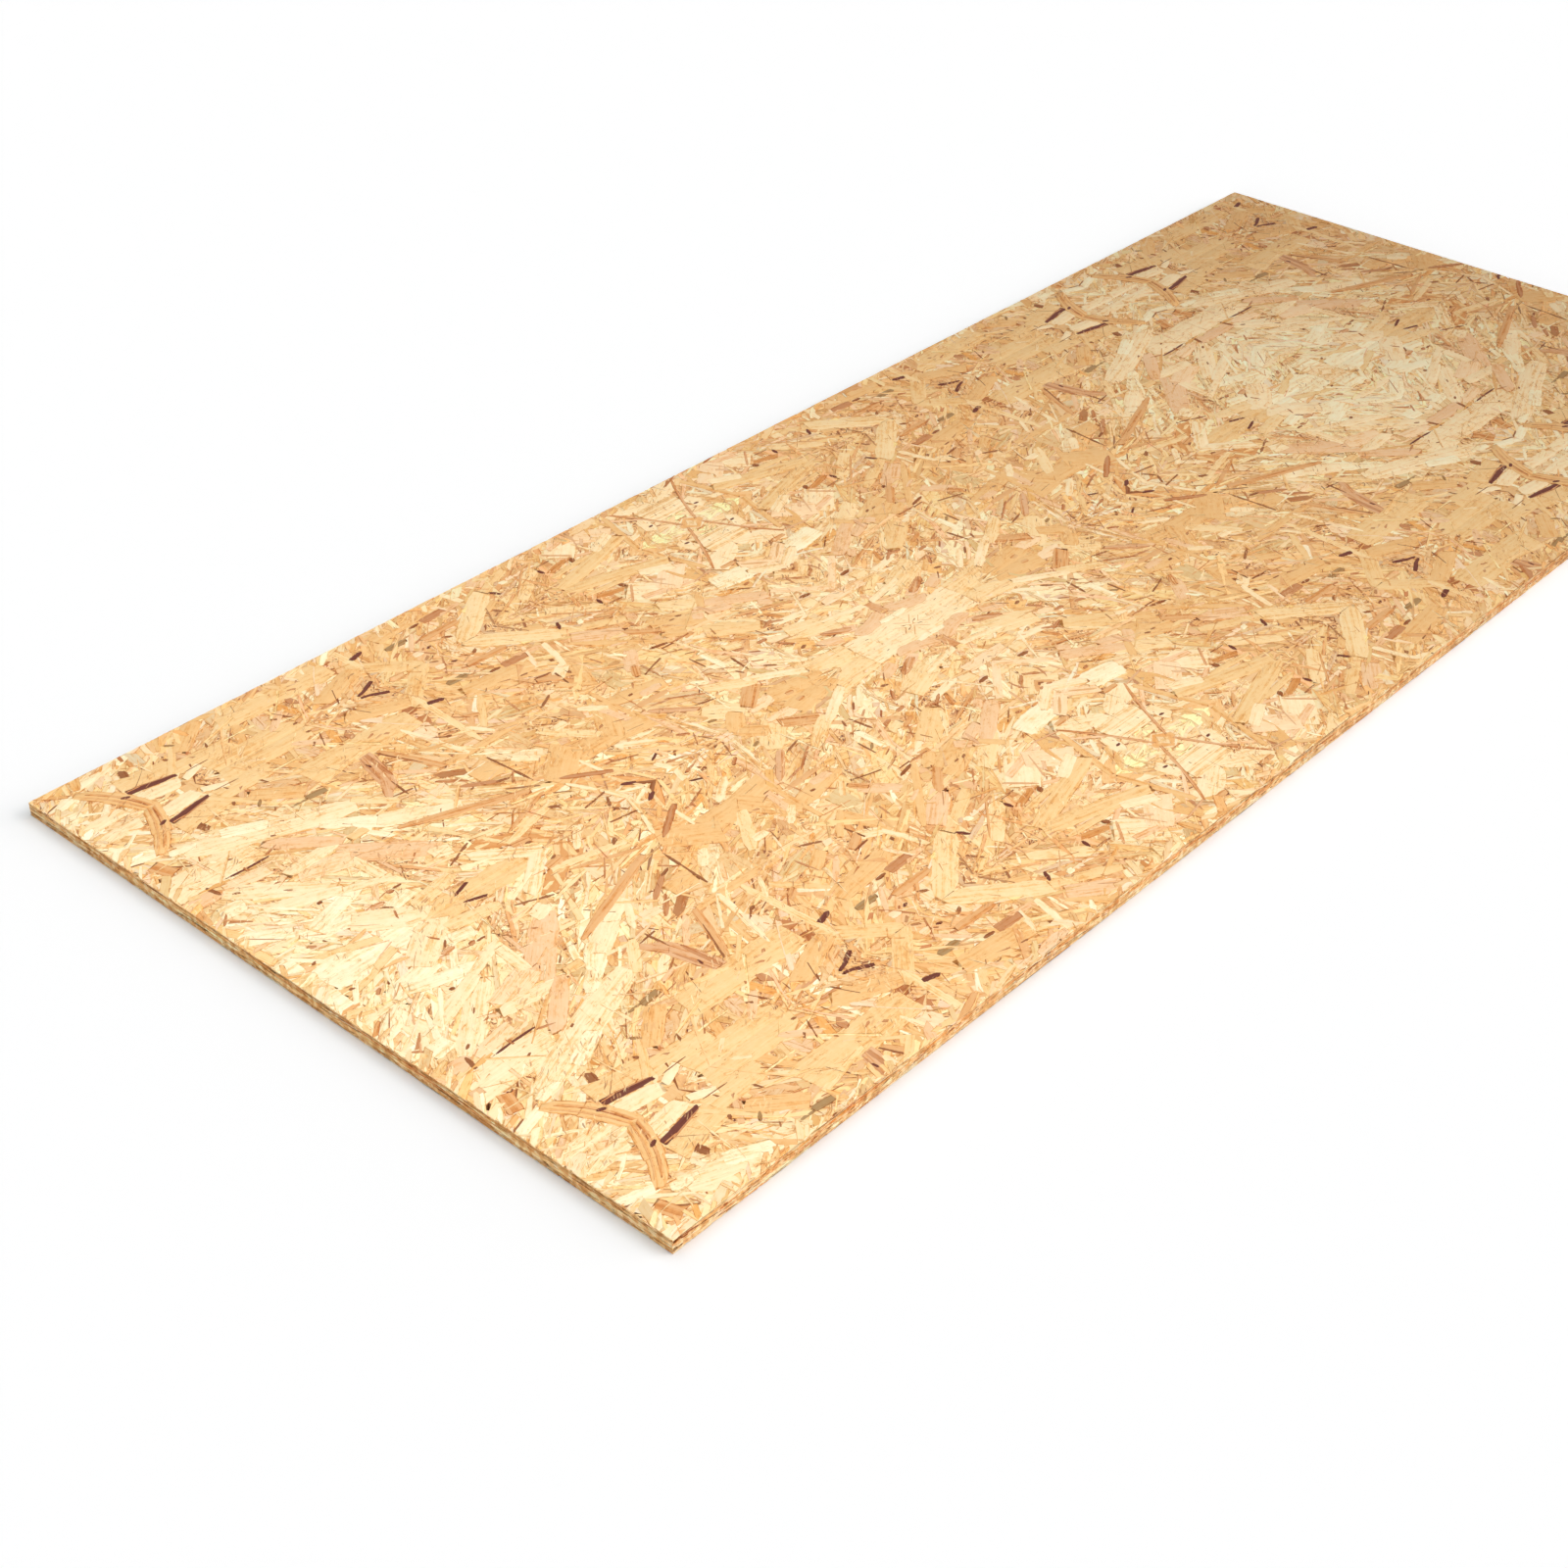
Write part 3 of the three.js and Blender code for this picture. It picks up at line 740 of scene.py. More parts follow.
def strand_mesh(name, groups, side, material):
    """One piece from groups of strands, each with its stations along it and its section.

    The faces of mirrored strands are turned over, so that they point outwards too. The UV map grain
    follows each strand in metres, and the map OFBake lays every skin out as a strip of its own.
    """
    points, corners, sizes, grain, brim, tint = [], [], [], [], [], []
    strip, along, around, lengths, widths = [], [], [], [], []
    point_count = strand_count = 0
    for strands, stations, section in groups:
        strands, xyz, grains, brims, length, width = strand_skin(strands, stations, section)
        count, ring = len(strands), len(section[0])
        station, place, u, v, face_sizes = skin_corners(stations, ring)
        mirrored = strands["hand"][:, None] < 0
        turned = np.where(mirrored, reversed_faces(face_sizes), np.arange(len(u)))
        first = point_count + stations * ring * np.arange(count)[:, None]
        corners.append((first + (station * ring + place)[turned]).ravel())
        along.append(u[turned].ravel())
        around.append(v[turned].ravel())
        strip.append(np.repeat(strand_count + np.arange(count), len(u)))
        sizes.append(np.tile(face_sizes, count))
        points.append(xyz.reshape(-1, 3))
        grain.append(grains.reshape(-1, 2))
        brim.append(brims.reshape(-1, 3))
        colours = np.concatenate([strands["tint"], strands["figure"][:, None]], 1)
        tint.append(np.repeat(colours, stations * ring, axis=0))
        lengths.append(length)
        widths.append(SKIN_ROUND * width)
        point_count += count * stations * ring
        strand_count += count
    corners, strip, sizes = (np.concatenate(part) for part in (corners, strip, sizes))
    lengths, widths = np.concatenate(lengths), np.concatenate(widths)
    u, v, whole = packed(lengths, widths, STRIP_GAP)
    bake_u = u[strip] + np.concatenate(along) * lengths[strip]
    bake_v = v[strip] + np.concatenate(around) * widths[strip]

    mesh = bpy.data.meshes.new(name)
    mesh.vertices.add(point_count)
    mesh.vertices.foreach_set("co", side.place(np.concatenate(points)).ravel())
    mesh.loops.add(len(corners))
    mesh.loops.foreach_set("vertex_index", corners)
    mesh.polygons.add(len(sizes))
    mesh.polygons.foreach_set("loop_start", np.cumsum(sizes) - sizes)
    mesh.update(calc_edges=True)
    for layer, values in (
        ("grain", np.concatenate(grain)[corners] * MM),
        ("OFBake", np.stack([bake_u, bake_v], 1) / whole),
    ):
        mesh.uv_layers.new(name=layer, do_init=False).uv.foreach_set("vector", values.ravel())
    tints = mesh.attributes.new("tint", "FLOAT_COLOR", "POINT")
    tints.data.foreach_set("color", np.concatenate(tint).ravel())
    brims = mesh.attributes.new("brim", "FLOAT_VECTOR", "POINT")
    brims.data.foreach_set("vector", np.concatenate(brim).ravel())
    return finished(name, mesh, material)


def finished(name, mesh, material):
    """A mesh as a piece of the sheet, smooth over its gentle bends and sharp at its edges."""
    mesh.polygons.foreach_set("use_smooth", np.ones(len(mesh.polygons), bool))
    mesh.set_sharp_from_angle(angle=SHARP_FOLD)
    mesh.materials.append(material)
    piece = bpy.data.objects.new(name, mesh)
    bpy.context.collection.objects.link(piece)
    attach(piece, "root")
    return piece


# --- Sides of the sheet -----------------------------------------------------------------------


class Side:
    """One side of the sheet, with a corner, two directions along it and a third out of it."""

    def __init__(self, corner, right, up, run, rise):
        self.corner = np.array(corner, float)
        self.axes = np.array([right, up, np.cross(right, up)], float)
        self.run, self.rise = run, rise

    def place(self, points):
        """Points in millimetres on this side, as places in the shared frame in metres."""
        return self.corner + points @ self.axes * MM

    def box(self, inset=0):
        """The limits of the side along both directions, drawn in by an inset."""
        return inset, self.run - inset, inset, self.rise - inset


(X0, Y0, Z0), (X1, Y1, Z1) = LOW, HIGH
TOP = Side((X0, Y0, Z1), (1, 0, 0), (0, 1, 0), LENGTH, WIDTH)
BOTTOM = Side((X0, Y1, Z0), (1, 0, 0), (0, -1, 0), LENGTH, WIDTH)
NEAR_LONG = Side((X0, Y0, Z0), (1, 0, 0), (0, 0, 1), LENGTH, THICKNESS)
FAR_LONG = Side((X1, Y1, Z0), (-1, 0, 0), (0, 0, 1), LENGTH, THICKNESS)
NEAR_SHORT = Side((X0, Y1, Z0), (0, -1, 0), (0, 0, 1), WIDTH, THICKNESS)
FAR_SHORT = Side((X1, Y0, Z0), (0, 1, 0), (0, 0, 1), WIDTH, THICKNESS)


# --- Laying the mat ---------------------------------------------------------------------------

# The parts of the pattern, along and across the sheet: their colours, the lean of their strands in
# degrees, and how much dark litter they have: chips, and dark specks that are partly painted shade
# of small voids between strands.
PARTS = (
    ((-80, 240), (410, 704), PALEST, 40, 0.6),
    ((-80, 240), (110, 410), PALE, 38, 0.9),
    ((240, 960), (410, 704), GOLDEN, 34, 1.2),
    ((240, 500), (110, 410), MELLOW, 34, 1.2),
    ((500, 960), (110, 410), AMBER, 34, 1.2),
    ((960, 1280), (110, 704), PALE, 30, 0.9),
)

# The lesser strands of a whole pattern, the lowest first: their section, how many there are and
# how many more for its litter, their limits of length, slimness and depth, and their colours,
# where None is the part's own.
FILL = (
    (PLATE, 270, 0, (70, 190), (2.5, 7), (0.85, 1.15), None),
    (PLATE, 270, 0, (40, 130), (4, 10), (0.7, 1.05), None),
    (SPLINTER, 700, 300, (28, 140), (7, 16), (0.6, 1.05), None),
    (SPLINTER, 0, 520, (10, 55), (5, 12), (0.56, 0.95), DEBRIS),
    # These two kinds of dark specks are partly painted shade of small voids between strands.
    (SPLINTER, 0, 360, (12, 60), (10, 24), (0.56, 0.8), SPECKS),
    (SPLINTER, 0, 150, (4, 13), (1.8, 4), (0.5, 0.7), SPECKS),
    (SPLINTER, 80, 0, (20, 90), (10, 24), (0.45, 0.62), SLIVERS),
)

# The strands along the rims of a face: how far in their middles lie, and how far apart they are.
RIM = 10
RIM_PITCH = 7


def face_fill(draw, crowd):
    """The plates and the splinters of one pattern, strewn part by part.

    The number of each kind is the plain one of FILL and the littered one times the part's litter,
    together times the crowd and the part's share of the pattern's area.
    """
    laid = {PLATE: [], SPLINTER: []}
    for along, across, shares, lean, litter_and_voids in PARTS:
        size = crowd * (along[1] - along[0]) / PATTERN_LENGTH
        size = size * (across[1] - across[0]) / PATTERN_WIDTH
        for section, plain, littered, *limits, own in FILL:
            count = int((plain + littered * litter_and_voids) * size)
            strewn = scatter(draw, count, (along, across), *limits, own or shares, lean)
            laid[section].append(strewn)
    return [np.concatenate(groups) for groups in laid.values()]


def rim_fill(side, draw):
    """Strands along the rims of a face, so that the saw left a full arris all round."""
    rims = []
    for area, length, shares in (
        (((0, side.run), (0, RIM)), side.run, MELLOW),
        (((0, side.run), (side.rise - RIM, side.rise)), side.run, MELLOW),
        (((0, RIM), (0, side.rise)), side.rise, PALE),
        (((side.run - RIM, side.run), (0, side.rise)), side.rise, PALE),
    ):
        count = int(length / RIM_PITCH)
        rim = scatter(draw, count, area, (20, 70), (3, 7), (0.25, 0.7), shares)
        rim["cuts"] = side.box()
        rims.append(rim)
    return np.concatenate(rims)


def in_band(strands, low, high):
    """The strands that are centred between two lines along the side."""
    return strands[(strands["y"] >= low) & (strands["y"] < high)]


def face(side, name, bands, laid, material):
    """The pieces of one face: bands across the width, each with the strands centred in it.

    The outermost bands also have the strands that are centred beyond the side.
    """
    limits = np.linspace(0, side.rise, bands + 1)
    limits[[0, -1]] = -side.rise, 2 * side.rise
    for number, (low, high) in enumerate(zip(limits, limits[1:]), 1):
        groups = [(in_band(strands, low, high), *skin) for strands, *skin in laid]
        strand_mesh(f"{name}_{number}", groups, side, material)


# What the saw shows on a long and on a short edge. The mat has three layers: the two outer ones, as
# high as a skirt, run along the sheet, and the core runs across. outer_along is whether the outer
# ones run along this edge, tones is how much of red, green and blue the foot, the core and the head
# show, and uneven is how unlike their strands are. The seam under the head is a dark band, partly
# painted shade of the gap where the face layer meets the core and partly resin. It is as far below
# the arris, as wide and as dark as the last three values.
Sawn = namedtuple("Sawn", "outer_along shares tones uneven seam_drop seam_width seam_dark")
LONG_EDGE = Sawn(
    outer_along=True,
    shares=SAWN_ALONG,
    tones=((0.99, 1.06, 1.12), (1.06, 1.08, 1.1), (1.1, 1.18, 1.24)),
    uneven=0.18,
    seam_drop=7.2,
    seam_width=2.8,
    seam_dark=1,
)
SHORT_EDGE = Sawn(
    outer_along=False,
    shares=SAWN_ACROSS,
    tones=((0.88, 0.89, 0.9), (1.42, 1.58, 1.72), (0.89, 0.91, 0.9)),
    uneven=0.1,
    seam_drop=3.6,
    seam_width=2.3,
    seam_dark=0.55,
)
SKIRT = 0.27 * THICKNESS
EDGE_TRIM = 0.35

# The strands on a sawn edge, where they run along it and where they are cut across: their lengths,
# their widths and their swing from level in degrees. None is steeper than this, in radians.
RUN_ALONG = (35, 170), (0.6, 1.5), 1.2
CUT_ACROSS = (7, 34), (0.7, 1.4), 4
STEEPEST = 0.12

# How many times over they cover a layer, and the mean of log-even lengths as a share of the middle.
COVER = 1.7
LOG_MEAN = 0.8

# How much of red, green and blue the seam swallows: painted shade of the gap under the face layer,
# and partly resin.
SEAM_SHADE = np.array((0.12, 0.34, 0.55))


def edge_strands(side, draw, sawn_edge):
    """The strand ends of a sawn edge, layer by layer from the foot up.

    Their number is the area of the layer, times the cover, over the mean length and the mean width.
    The seam darkens them along a bell curve round its height, more or less from strand to strand:
    it is painted shade of the gap under the face layer, and partly resin. A colour that is too
    light is scaled down to the lightest one, which keeps its hue.
    """
    layers = []
    heights = (0, SKIRT, side.rise - SKIRT, side.rise)
    outers = (True, False, True)
    for low, high, outer, glow in zip(heights, heights[1:], outers, sawn_edge.tones):
        lengths, widths, swing = RUN_ALONG if outer == sawn_edge.outer_along else CUT_ACROSS
        cover = COVER * side.run * (high - low)
        count = int(cover / (np.mean(lengths) * LOG_MEAN * np.mean(widths)))
        area = (0, side.run), (low, high)
        ends = scatter(draw, count, area, lengths, (1, 2), (0.05, 0.7), sawn_edge.shares, 0, swing)
        ends["angle"] = np.clip(ends["angle"], -STEEPEST, STEEPEST)
        ends["width"] = draw.uniform(*widths, count)
        ends["bow"] = draw.normal(0, 0.4, count)
        ends["fray"] = 1
        ends["roll"] *= 0.3
        ends["tint"] *= glow * draw.normal(1, sawn_edge.uneven, (count, 1))
        layers.append(ends)
    ends = np.concatenate(layers)
    # The seam is painted shade of the gap where the face layer meets the core, and partly resin.
    above_seam = ends["y"] - side.rise + sawn_edge.seam_drop + draw.normal(0, 0.5, len(ends))
    shaded = np.exp(-((above_seam / sawn_edge.seam_width) ** 2))
    shaded *= draw.uniform(0.4, 1.5, len(ends)) * sawn_edge.seam_dark
    ends["tint"] *= 1 - shaded[:, None] * SEAM_SHADE
    ends["tint"] *= np.minimum(1, LIGHTEST / ends["tint"].max(axis=1))[:, None]
    ends["cuts"] = side.box(EDGE_TRIM)
    return ends


# --- Materials --------------------------------------------------------------------------------


class Value:
    """A number or a colour in a material. Arithmetic on numbers adds a Math node for each sign."""

    def __init__(self, paint, socket):
        self.paint, self.socket = paint, socket

    def math(self, operation, first, second):
        """The number that an operation makes of two others."""
        return self.paint.node("ShaderNodeMath", {"operation": operation}, {0: first, 1: second})

    def __add__(self, other):
        return self.math("ADD", self, other)

    def __sub__(self, other):
        return self.math("SUBTRACT", self, other)

    def __rsub__(self, other):
        return self.math("SUBTRACT", other, self)

    def __mul__(self, other):
        return self.math("MULTIPLY", self, other)

    def __rtruediv__(self, other):
        return self.math("DIVIDE", other, self)

    def __lt__(self, other):
        return self.math("LESS_THAN", self, other)

    __radd__, __rmul__ = __add__, __mul__


class Paint:
    """The nodes of one material or of the world."""

    def __init__(self, owner):
        owner.use_nodes = True
        self.owner, self.tree = owner, owner.node_tree
        self.tree.nodes.clear()

    def node(self, kind, settings=None, inputs=None, output=0):
        """Any node: its settings first, then the values or links of its sockets.

        Returns the output that is named, or the outputs, where several are.
        """
        node = self.tree.nodes.new(kind)
        for name, value in (settings or {}).items():
            setattr(node, name, value)
        for name, value in (inputs or {}).items():
            if isinstance(value, Value):
                self.tree.links.new(value.socket, node.inputs[name])
            else:
                node.inputs[name].default_value = value
        if isinstance(output, tuple):
            return [Value(self, node.outputs[name]) for name in output]
        return Value(self, node.outputs[output]) if node.outputs else None

    def stretched(self, vector, *sizes):
        """A pattern's place, where one unit is as long as each of the sizes, in millimetres."""
        scale = [1 / (size * MM) for size in sizes]
        scale += [0] * (3 - len(scale))
        return self.node("ShaderNodeVectorMath", {"operation": "MULTIPLY"}, {0: vector, 1: scale})

    def turned(self, vector, degrees):
        """A pattern's place, turned in the plane of the sheet."""
        inputs = {"Vector": vector, "Angle": np.radians(degrees)}
        return self.node("ShaderNodeVectorRotate", {"rotation_type": "Z_AXIS"}, inputs)

    def noise(self, place, detail=2, roughness=0.5, dimensions="2D"):
        """A cloudy number round a half, with finer clouds for each step of detail."""
        inputs = {"Vector": place, "Scale": 1, "Detail": detail, "Roughness": roughness}
        return self.node("ShaderNodeTexNoise", {"noise_dimensions": dimensions}, inputs)

    def step(self, value, low, high):
        """0 below low, 1 above high and smooth between them."""
        inputs = {"Value": value, "From Min": low, "From Max": high}
        return self.node("ShaderNodeMapRange", {"interpolation_type": "SMOOTHSTEP"}, inputs)

    def ramp(self, value, stops):
        """A colour for a number, between stops of (number, colour)."""
        node = self.tree.nodes.new("ShaderNodeValToRGB")
        for _ in stops[2:]:
            node.color_ramp.elements.new(0.5)
        for element, (place, colour) in zip(node.color_ramp.elements, stops):
            element.position, element.color = place, (*colour, 1)
        self.tree.links.new(value.socket, node.inputs[0])
        return Value(self, node.outputs[0])

    def mix(self, factor, first, second, blend="MIX"):
        """Two colours blended, as (red, green, blue, 1) or as values."""
        settings = {"data_type": "RGBA", "blend_type": blend}
        return self.node("ShaderNodeMix", settings, {0: factor, 6: first, 7: second}, output=2)

    def away(self, value):
        """How far a number is from nothing."""
        return self.node("ShaderNodeMath", {"operation": "ABSOLUTE"}, {0: value})

    def bump(self, height, strength, distance):
        """The surface's direction, tipped by a height that is at most the distance high."""
        inputs = {"Height": height, "Strength": strength, "Distance": distance}
        return self.node("ShaderNodeBump", None, inputs)

    def shaded(self, colour, shade):
        """A wood colour, paler where the shade is above nothing and mellow to dark below it."""
        for low, high, tint in SHADES:
            tinted = self.mix(1, colour, tint, "MULTIPLY")
            colour = self.mix(self.step(shade, low, high), colour, tinted)
        return colour

    def chips(self, place, degrees, length, width, filled):
        """Where chips lie, turned by the degrees, and a number that differs from chip to chip.

        The chips are the cells of a stretched Voronoi pattern, of which a share is filled, and its
        rows sway from side to side.
        """
        broad = self.stretched(place, SWAY_LENGTH, SWAY_LENGTH)
        waves = {"Vector": broad, "Scale": 1, "Detail": 1}
        sway = self.node("ShaderNodeTexNoise", {"noise_dimensions": "2D"}, waves, output=1)
        swayed = {0: sway, 1: [SWAY * MM] * 3, 2: place}
        moved = self.node("ShaderNodeVectorMath", {"operation": "MULTIPLY_ADD"}, swayed)
        cells = {"Vector": self.stretched(self.turned(moved, degrees), length, width), "Scale": 1}
        outputs = "Distance", "Color"
        flat = {"voronoi_dimensions": "2D"}
        distance, colour = self.node("ShaderNodeTexVoronoi", flat, cells, outputs)
        red, green = self.node("ShaderNodeSeparateColor", None, {0: colour}, output=(0, 1))
        return (red < filled) * self.step(distance, 0.5, 0.4), green

    def seen(self):
        """1 where the camera, a mirror or glass looks, and 0 for the light on the scene."""
        kinds = ("Is Camera Ray", "Is Glossy Ray", "Is Transmission Ray")
        camera_ray, glossy_ray, transmission_ray = self.node("ShaderNodeLightPath", output=kinds)
        return camera_ray + glossy_ray + transmission_ray

    def surface(self, **sockets):
        """The shader, with the sockets that are named, as the material's surface."""
        inputs = {name.replace("_", " "): value for name, value in sockets.items()}
        shader = self.node("ShaderNodeBsdfPrincipled", None, inputs)
        self.node("ShaderNodeOutputMaterial", None, {"Surface": shader})
        return self.owner


# The shades of the wood: where each one starts and where it is full, and what it does to a colour.
PALER = (0, 1, (1.02, 1.09, 1.2, 1))
MELLOWED = (0, -0.6, (0.94, 0.79, 0.6, 1))
BROWNED = (-0.5, -1.3, (0.8, 0.63, 0.5, 1))
DARKENED = (-1.2, -2.4, (0.5, 0.42, 0.4, 1))
SHADES = (PALER, MELLOWED, BROWNED, DARKENED)

# The colours of the fines under the strands, of the chips in them and of the crumbs on top.
FINE_COLOURS = ((0.3, BARK), (0.45, COPPER), (0.6, HONEY))
CHIP_COLOURS = (
    (0, UMBER),
    (0.08, BROWN),
    (0.2, BARK),
    (0.4, COPPER),
    (0.6, HONEY),
    (0.8, STRAW),
    (1, CREAM),
)
CRUMB_COLOURS = ((0, BROWN), (0.15, BARK), (0.45, COPPER), (0.75, STRAW), (1, CREAM))

# Chips and crumbs: their turn in degrees, length, width and the share of them that is there. Their
# rows sway this far, in millimetres, over waves this long.
CHIPS = ((-33, 14, 4, 0.6), (20, 9, 3, 0.5), (-70, 7, 2.4, 0.4))
CRUMBS = ((-37, 16, 2.4, 0.16), (-62, 12, 2, 0.12))
SWAY = 20
SWAY_LENGTH = 40


def strand_material(name, contrast, outline, littered):
    """Wood strands: each has its own tint, with fibres, growth rings, ticks and a dark outline.

    The shade of the wood is a sum of patterns along its grain and of smudges over the whole sheet,
    times the contrast. The outline is how far a strand is dark from its sides and ends inward, and
    it has breaks: it is painted shade of the gaps between strands, and partly resin. Crumbs lie in
    patches on littered strands.
    """
    paint = Paint(bpy.data.materials.new(name))
    outputs = "Color", "Alpha"
    tint, figure = paint.node("ShaderNodeAttribute", {"attribute_name": "tint"}, output=outputs)
    brim = paint.node("ShaderNodeAttribute", {"attribute_name": "brim"}, output="Vector")
    reach, half, to_end = paint.node("ShaderNodeSeparateXYZ", None, {0: brim}, output=(0, 1, 2))
    grain = paint.node("ShaderNodeUVMap", {"uv_map": "grain"})
    place = paint.node("ShaderNodeTexCoord", output="Object")

    fibres = paint.noise(paint.stretched(grain, 35, 0.9), 3)
    streaks = paint.noise(paint.stretched(grain, 70, 5), 3, 0.6)
    rings = paint.noise(paint.stretched(grain, 160, 5), 2)
    veins = paint.noise(paint.stretched(grain, 45, 6), 2)
    ticks = paint.step(paint.noise(paint.stretched(grain, 9, 1.2), 1), 0.66, 0.74)
    smudges = paint.noise(paint.stretched(place, 70, 70, 70), 4, 0.6, "3D")
    mottle = paint.noise(paint.stretched(place, 9, 9, 9), 3, 0.6, "3D")
    clouds = paint.noise(paint.stretched(place, 12, 12, 12), 1, dimensions="3D")
    breaks = paint.step(clouds, 0.36, 0.56)

    to_side = half - paint.away(reach)
    nearest = paint.node("ShaderNodeMath", {"operation": "MINIMUM"}, {0: to_side, 1: to_end})
    # The dark outline along a strand's sides and ends is painted shade of the gaps between strands,
    # and partly resin.
    rim = paint.step(nearest, outline, 0.1 * outline) * breaks
    cracks = paint.step(paint.away(veins - 0.5), 0.014, 0.004) * breaks
    shade = 0.12 + contrast * (
        1.2 * (fibres - 0.5)
        + figure * (0.2 - 0.8 * paint.step(rings, 0.48, 0.62))
        + 2.2 * (streaks - 0.5)
        - 0.7 * ticks * paint.step(smudges, 0.45, 0.6)
        - 1.5 * rim
        - cracks
        - 1.9 * (smudges - 0.5)
        + 2 * (mottle - 0.5)
    )
    colour = paint.shaded(tint, shade)
    if littered:
        patches = paint.step(smudges, 0.5, 0.62)
        for crumbs in CRUMBS:
            crumb, number = paint.chips(place, *crumbs)
            colour = paint.mix(crumb * patches * 0.7, colour, paint.ramp(number, CRUMB_COLOURS))
    return paint.surface(
        Base_Color=colour,
        Roughness=0.55 + 0.25 * fibres,
        Specular_IOR_Level=0.25,
        Normal=paint.bump(fibres - 0.6 * ticks - cracks, 0.35, 0.4 * MM),
    )


def fines_material():
    """The fines that fill the gaps between strands: small chips in every colour of the wood."""
    paint = Paint(bpy.data.materials.new("pressed_fines"))
    place = paint.node("ShaderNodeTexCoord", output="Object")
    ground = paint.noise(paint.stretched(place, 14, 14, 14), 3, dimensions="3D")
    colour = paint.ramp(ground, FINE_COLOURS)
    for chips in CHIPS:
        chip, number = paint.chips(place, *chips)
        colour = paint.mix(chip, colour, paint.ramp(number, CHIP_COLOURS))
    bump = paint.bump(ground, 0.5, 0.5 * MM)
    return paint.surface(Base_Color=colour, Roughness=0.8, Normal=bump)


FACE_WOOD = strand_material("face_wood", 1, 1.3, True)
SAWN_WOOD = strand_material("sawn_wood", 0.7, 0.2, False)
FINES = fines_material()


# --- Pieces -----------------------------------------------------------------------------------


def core():
    """The inside of the mat: one strand larger than the sheet, sawn a little small all round."""
    strand = blank(1)
    strand["x"], strand["y"] = LENGTH / 2, WIDTH / 2
    strand["length"], strand["width"] = 1.2 * LENGTH, 1.5 * WIDTH
    strand["depth"], strand["ply"] = CORE_DEPTH, THICKNESS - 2 * CORE_DEPTH
    strand["cuts"] = TOP.box(CORE_TRIM)
    return strand_mesh("pressed_core", [(strand, 3, PLATE)], TOP, FINES)


def panel():
    """The sheet: its core, its two faces and its four sawn edges, each from draws of its own."""
    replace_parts(core(), SHEET)
    plates, splinters = face_fill(np.random.default_rng(5), 1)
    laid = [
        (mirrored_copies(landmarks(), TOP.box()), 9, BOARD),
        (mirrored_copies(plates, TOP.box()), 5, PLATE),
        (rim_fill(TOP, np.random.default_rng(9)), 4, PLATE),
        (mirrored_copies(splinters, TOP.box()), 3, SPLINTER),
    ]
    face(TOP, "upper_strands", 8, laid, FACE_WOOD)
    plates, splinters = face_fill(np.random.default_rng(6), 0.5)
    laid = [
        (mirrored_copies(plates, BOTTOM.box()), 4, PLATE),
        (rim_fill(BOTTOM, np.random.default_rng(10)), 4, PLATE),
        (mirrored_copies(splinters, BOTTOM.box()), 3, SPLINTER),
    ]
    face(BOTTOM, "lower_strands", 4, laid, FACE_WOOD)
    draw = np.random.default_rng(8)
    edges = (
        ("near_long_edge", NEAR_LONG, LONG_EDGE),
        ("far_long_edge", FAR_LONG, LONG_EDGE),
        ("near_short_edge", NEAR_SHORT, SHORT_EDGE),
        ("far_short_edge", FAR_SHORT, SHORT_EDGE),
    )
    for name, side, sawn_edge in edges:
        strand_mesh(name, [(edge_strands(side, draw, sawn_edge), 2, PLATE)], side, SAWN_WOOD)


# --- Stage, lights and camera -----------------------------------------------------------------

# The key lamp is a broad disc over the near corner of the sheet, so that the light falls off
# towards the far end. The panels are wide suns, each with its light, its direction and its spread
# in degrees: the right one softens the shadows, the low left one lights the short edge, and the
# back one lifts the far end. The key lamp is a trace cool and the panels are a trace warm.
KEY_PLACE = np.array((X0 + 0.24, Y0 + 0.2, 2.02))
KEY_RADIUS = 1.87
KEY_LIGHT = 0.79
PANELS = (
    ("right", 0.25, Vector((0.66, -0.72, 0.4)).normalized(), 55),
    ("left", 0.037, Vector((-0.95, -0.25, 0.16)).normalized(), 16),
    ("back", 0.04, Vector((0.25, 0.8, 0.5)).normalized(), 40),
)
SKY_LIGHT = 0.05
SKY = (0.97, 0.985, 1, 1)
COOL = (0.96, 1, 1.01)
WARM = (1.12, 1, 0.97)

# How much light the floor gives back, how far it reaches in metres and how far below the sheet.
FLOOR_TONE = 0.85
FLOOR_REACH = 30
FLOOR_GAP = 0.2 * MM


def studio_light():
    """The sky, the key lamp and the panels, each as bright on the sheet as its share of white.

    A disc of radius r and P watts gives P / (pi^2 (h^2 + r^2)) of white straight below it, at a
    height h, and a sun of strength S whose direction rises by z gives S z / pi.
    """
    world = bpy.data.worlds.new("studio")
    bpy.context.scene.world = world
    paint = Paint(world)
    white = paint.node("ShaderNodeBackground", None, {"Color": (1, 1, 1, 1), "Strength": 1})
    sky = paint.node("ShaderNodeBackground", None, {"Color": SKY, "Strength": SKY_LIGHT})
    both = paint.node("ShaderNodeMixShader", None, {0: paint.seen(), 1: sky, 2: white})
    paint.node("ShaderNodeOutputWorld", None, {"Surface": both})

    key_power = KEY_LIGHT * np.pi ** 2 * (KEY_PLACE[2] ** 2 + KEY_RADIUS ** 2)
    disc = {"shape": "DISK", "size": 2 * KEY_RADIUS, "color": COOL}
    lamp("key", "AREA", KEY_PLACE, Vector((0, 0, 1)), key_power, **disc)
    for name, light, towards, spread in PANELS:
        sun = {"angle": np.radians(spread), "color": WARM}
        lamp(name, "SUN", (0, 0, 3), towards, np.pi * light / towards.z, **sun)


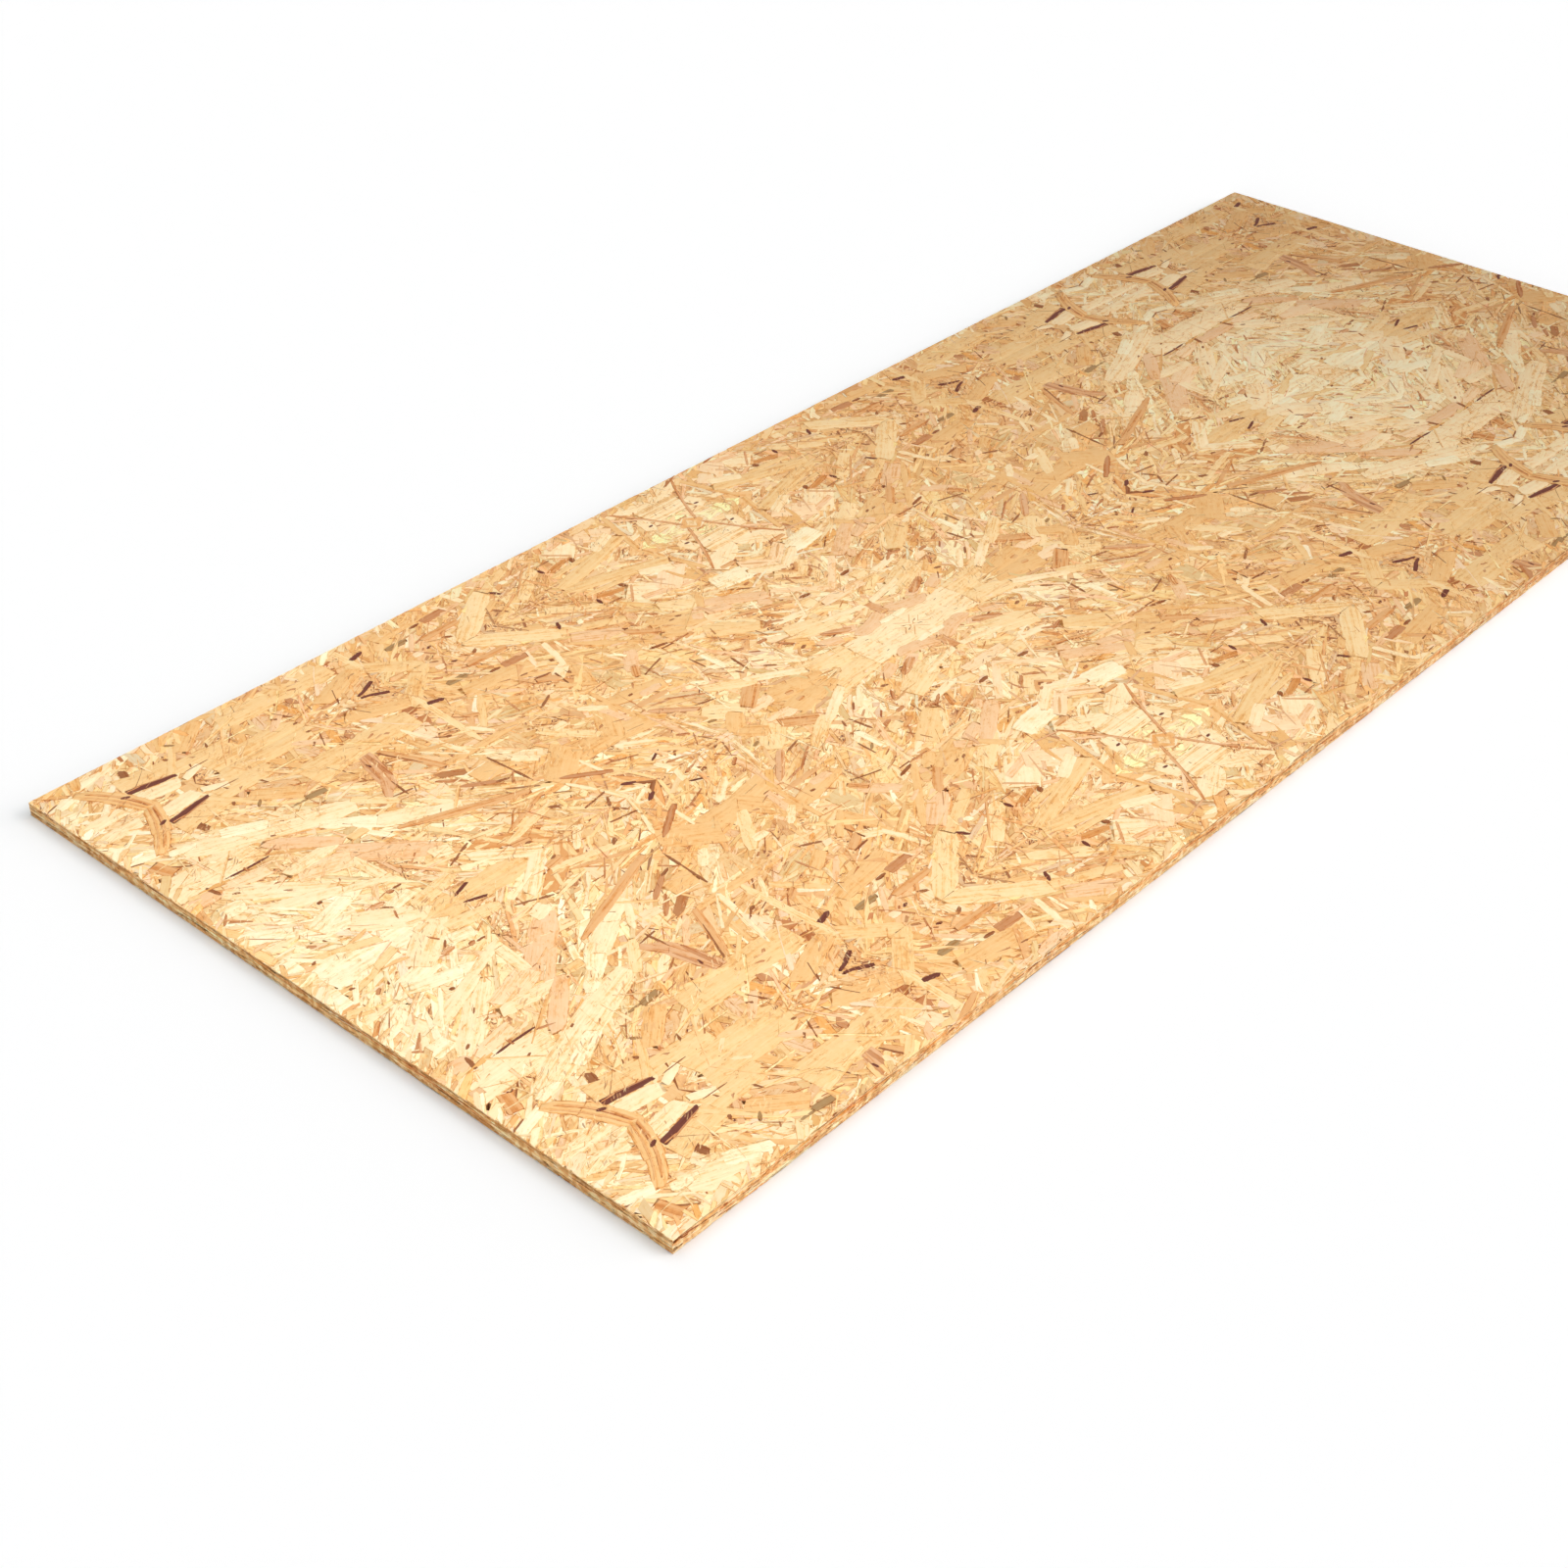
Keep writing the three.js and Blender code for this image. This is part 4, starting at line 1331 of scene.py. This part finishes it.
def lamp(name, kind, place, towards, energy, **settings):
    """A light at a place, which shines straight against the direction that leads to it."""
    light = bpy.data.lights.new(name, kind)
    light.energy = energy
    for key, value in settings.items():
        setattr(light, key, value)
    stand = bpy.data.objects.new(name, light)
    stand.location = place
    stand.rotation_euler = towards.to_track_quat("Z", "Y").to_euler()
    bpy.context.collection.objects.link(stand)


def floor():
    """A white floor that keeps the sheet's shadow.

    It glows, for the camera and mirrors only, by what the light leaves each colour short of white.
    A disc of radius r at a height h lights the floor at a distance d along it by a share of straight
    below: (h^2 + r^2) / 2r^2 times 1 - (h^2 + d^2 - r^2) / sqrt(w^2 - 4 r^2 d^2), with w for
    h^2 + d^2 + r^2.
    """
    signs = (-1, -1), (1, -1), (1, 1), (-1, 1)
    corners = [(x * FLOOR_REACH, y * FLOOR_REACH, -FLOOR_GAP) for x, y in signs]
    mesh = bpy.data.meshes.new("floor")
    mesh.from_pydata(corners, [], [(0, 1, 2, 3)])
    paint = Paint(bpy.data.materials.new("floor"))
    place = paint.node("ShaderNodeTexCoord", output="Object")
    x, y = paint.node("ShaderNodeSeparateXYZ", None, {0: place}, output=(0, 1))
    x, y = x - KEY_PLACE[0], y - KEY_PLACE[1]
    off, rise, radius = x * x + y * y, KEY_PLACE[2] ** 2, KEY_RADIUS ** 2
    whole = off + (rise + radius)
    inner = whole * whole - 4 * radius * off
    spread = paint.node("ShaderNodeMath", {"operation": "SQRT"}, {0: inner})
    fall = (rise + radius) / (2 * radius) * (1 - (off + (rise - radius)) * (1 / spread))
    fill = sum(light for _, light, _, _ in PANELS)
    short_of_white = {
        channel: 1 - FLOOR_TONE * (SKY_LIGHT + fill * warm + KEY_LIGHT * cool * fall)
        for channel, (warm, cool) in enumerate(zip(WARM, COOL))
    }
    glow = paint.node("ShaderNodeCombineColor", None, short_of_white)
    mesh.materials.append(
        paint.surface(
            Base_Color=(FLOOR_TONE, FLOOR_TONE, FLOOR_TONE, 1),
            Roughness=1,
            Specular_IOR_Level=0,
            Emission_Color=paint.mix(paint.seen(), (0, 0, 0, 1), glow),
            Emission_Strength=1,
        )
    )
    plane = bpy.data.objects.new("floor", mesh)
    bpy.context.collection.objects.link(plane)


def camera():
    """A long lens that looks down on the sheet from beyond its near corner, rolled by a hair."""
    pan, tilt, roll = np.radians((-48.133, 35.311, 0.294))
    aim, distance = Vector((X0 + 0.766, Y0 + 0.522, Z0)), 3.577
    back = Vector((np.sin(pan) * np.cos(tilt), -np.cos(pan) * np.cos(tilt), np.sin(tilt)))
    level = Vector((np.cos(pan), np.sin(pan), 0))
    right = np.cos(roll) * level + np.sin(roll) * back.cross(level)
    turn = Matrix((right, back.cross(right), back)).transposed().to_4x4()
    data = bpy.data.cameras.new("camera")
    data.lens, data.sensor_width = 57.585, 36
    stand = bpy.data.objects.new("camera", data)
    stand.matrix_world = Matrix.Translation(aim + distance * back) @ turn
    bpy.context.collection.objects.link(stand)
    bpy.context.scene.camera = stand


camera()
panel()
floor()
studio_light()
bpy.context.scene.view_settings.view_transform = "Standard"
